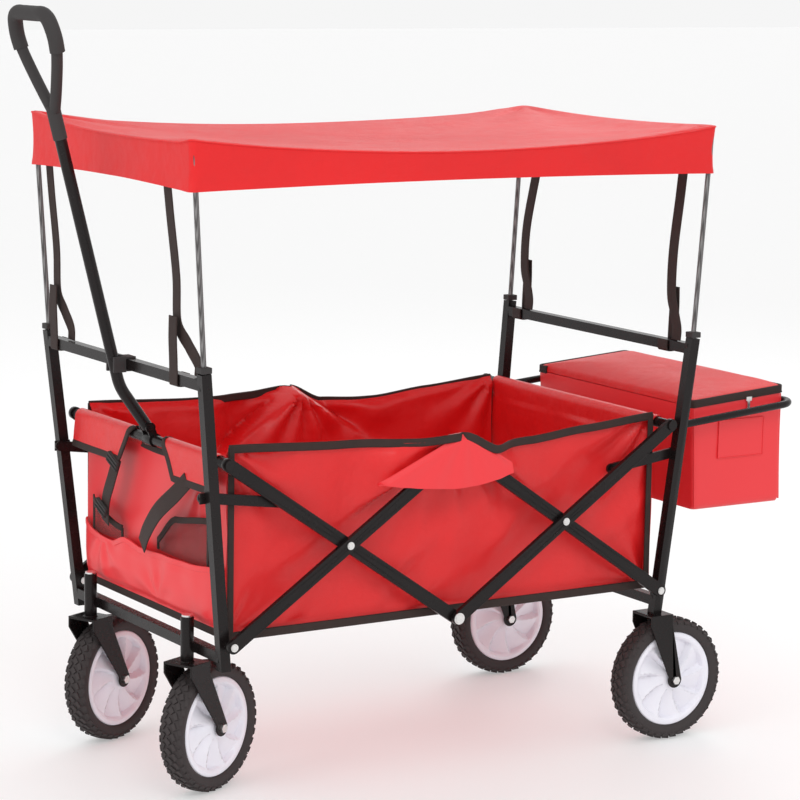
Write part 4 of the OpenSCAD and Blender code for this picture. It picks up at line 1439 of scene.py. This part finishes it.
class WAGON_OT_canopy_straps(bpy.types.Operator):
    """Make the straps between the canopy and the cross bars"""

    bl_idname = "wagon.canopy_straps"
    bl_label = "Canopy straps"

    def execute(self, context):
        make_canopy_straps()
        return {"FINISHED"}


class WAGON_OT_tub(bpy.types.Operator):
    """Make the tub's walls, floor, bindings and flaps"""

    bl_idname = "wagon.tub"
    bl_label = "Tub"

    def execute(self, context):
        make_side_wall(1)
        make_side_wall(-1)
        make_rear_wall()
        make_floor()
        return {"FINISHED"}


class WAGON_OT_front(bpy.types.Operator):
    """Make the front panel with its flaps, pouch, nets and straps"""

    bl_idname = "wagon.front"
    bl_label = "Front panel"

    def execute(self, context):
        make_front_panel()
        return {"FINISHED"}


class WAGON_OT_bag(bpy.types.Operator):
    """Make the rear bag, its lid and its loops"""

    bl_idname = "wagon.bag"
    bl_label = "Rear bag"

    def execute(self, context):
        make_bag()
        return {"FINISHED"}


class WAGON_OT_wheels(bpy.types.Operator):
    """Make the tyres and discs"""

    bl_idname = "wagon.wheels"
    bl_label = "Wheels"

    def execute(self, context):
        make_wheels()
        return {"FINISHED"}


class WAGON_OT_handle(bpy.types.Operator):
    """Make the pull handle"""

    bl_idname = "wagon.handle"
    bl_label = "Pull handle"

    def execute(self, context):
        make_handle()
        return {"FINISHED"}


class WAGON_OT_frame(bpy.types.Operator):
    """Finish the frame's steel and plastic parts"""

    bl_idname = "wagon.frame"
    bl_label = "Frame finishes"

    def execute(self, context):
        dress_frame()
        return {"FINISHED"}


class WAGON_OT_stage(bpy.types.Operator):
    """Set up the floor, lights and camera"""

    bl_idname = "wagon.stage"
    bl_label = "Stage"

    def execute(self, context):
        make_stage()
        return {"FINISHED"}


OPERATORS = (WAGON_OT_stage, WAGON_OT_canopy, WAGON_OT_canopy_straps, WAGON_OT_tub, WAGON_OT_front,
             WAGON_OT_bag, WAGON_OT_wheels, WAGON_OT_handle, WAGON_OT_frame)


class WAGON_PT_panel(bpy.types.Panel):
    """Lists the wagon's settings and pieces"""

    bl_label = "Folding Wagon"
    bl_idname = "WAGON_PT_panel"
    bl_space_type = "VIEW_3D"
    bl_region_type = "UI"
    bl_category = "Wagon"

    def draw(self, context):
        for group in ("wagon_cloth", "wagon_wheels", "wagon_metal"):
            settings = getattr(context.scene, group)
            for key in settings.__annotations__:
                self.layout.prop(settings, key)
        for operator in OPERATORS:
            self.layout.operator(operator.bl_idname)


CLASSES = (ClothSettings, WheelSettings, MetalSettings, *OPERATORS, WAGON_PT_panel)


def register():
    for cls in CLASSES:
        bpy.utils.register_class(cls)
    bpy.types.Scene.wagon_cloth = bpy.props.PointerProperty(type=ClothSettings)
    bpy.types.Scene.wagon_wheels = bpy.props.PointerProperty(type=WheelSettings)
    bpy.types.Scene.wagon_metal = bpy.props.PointerProperty(type=MetalSettings)


def unregister():
    del bpy.types.Scene.wagon_metal
    del bpy.types.Scene.wagon_wheels
    del bpy.types.Scene.wagon_cloth
    for cls in reversed(CLASSES):
        bpy.utils.unregister_class(cls)


def main():
    """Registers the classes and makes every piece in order."""
    register()
    bpy.ops.wagon.stage()
    bpy.ops.wagon.canopy()
    bpy.ops.wagon.canopy_straps()
    bpy.ops.wagon.tub()
    bpy.ops.wagon.front()
    bpy.ops.wagon.bag()
    bpy.ops.wagon.wheels()
    bpy.ops.wagon.handle()
    bpy.ops.wagon.frame()


if __name__ == "__main__":
    main()
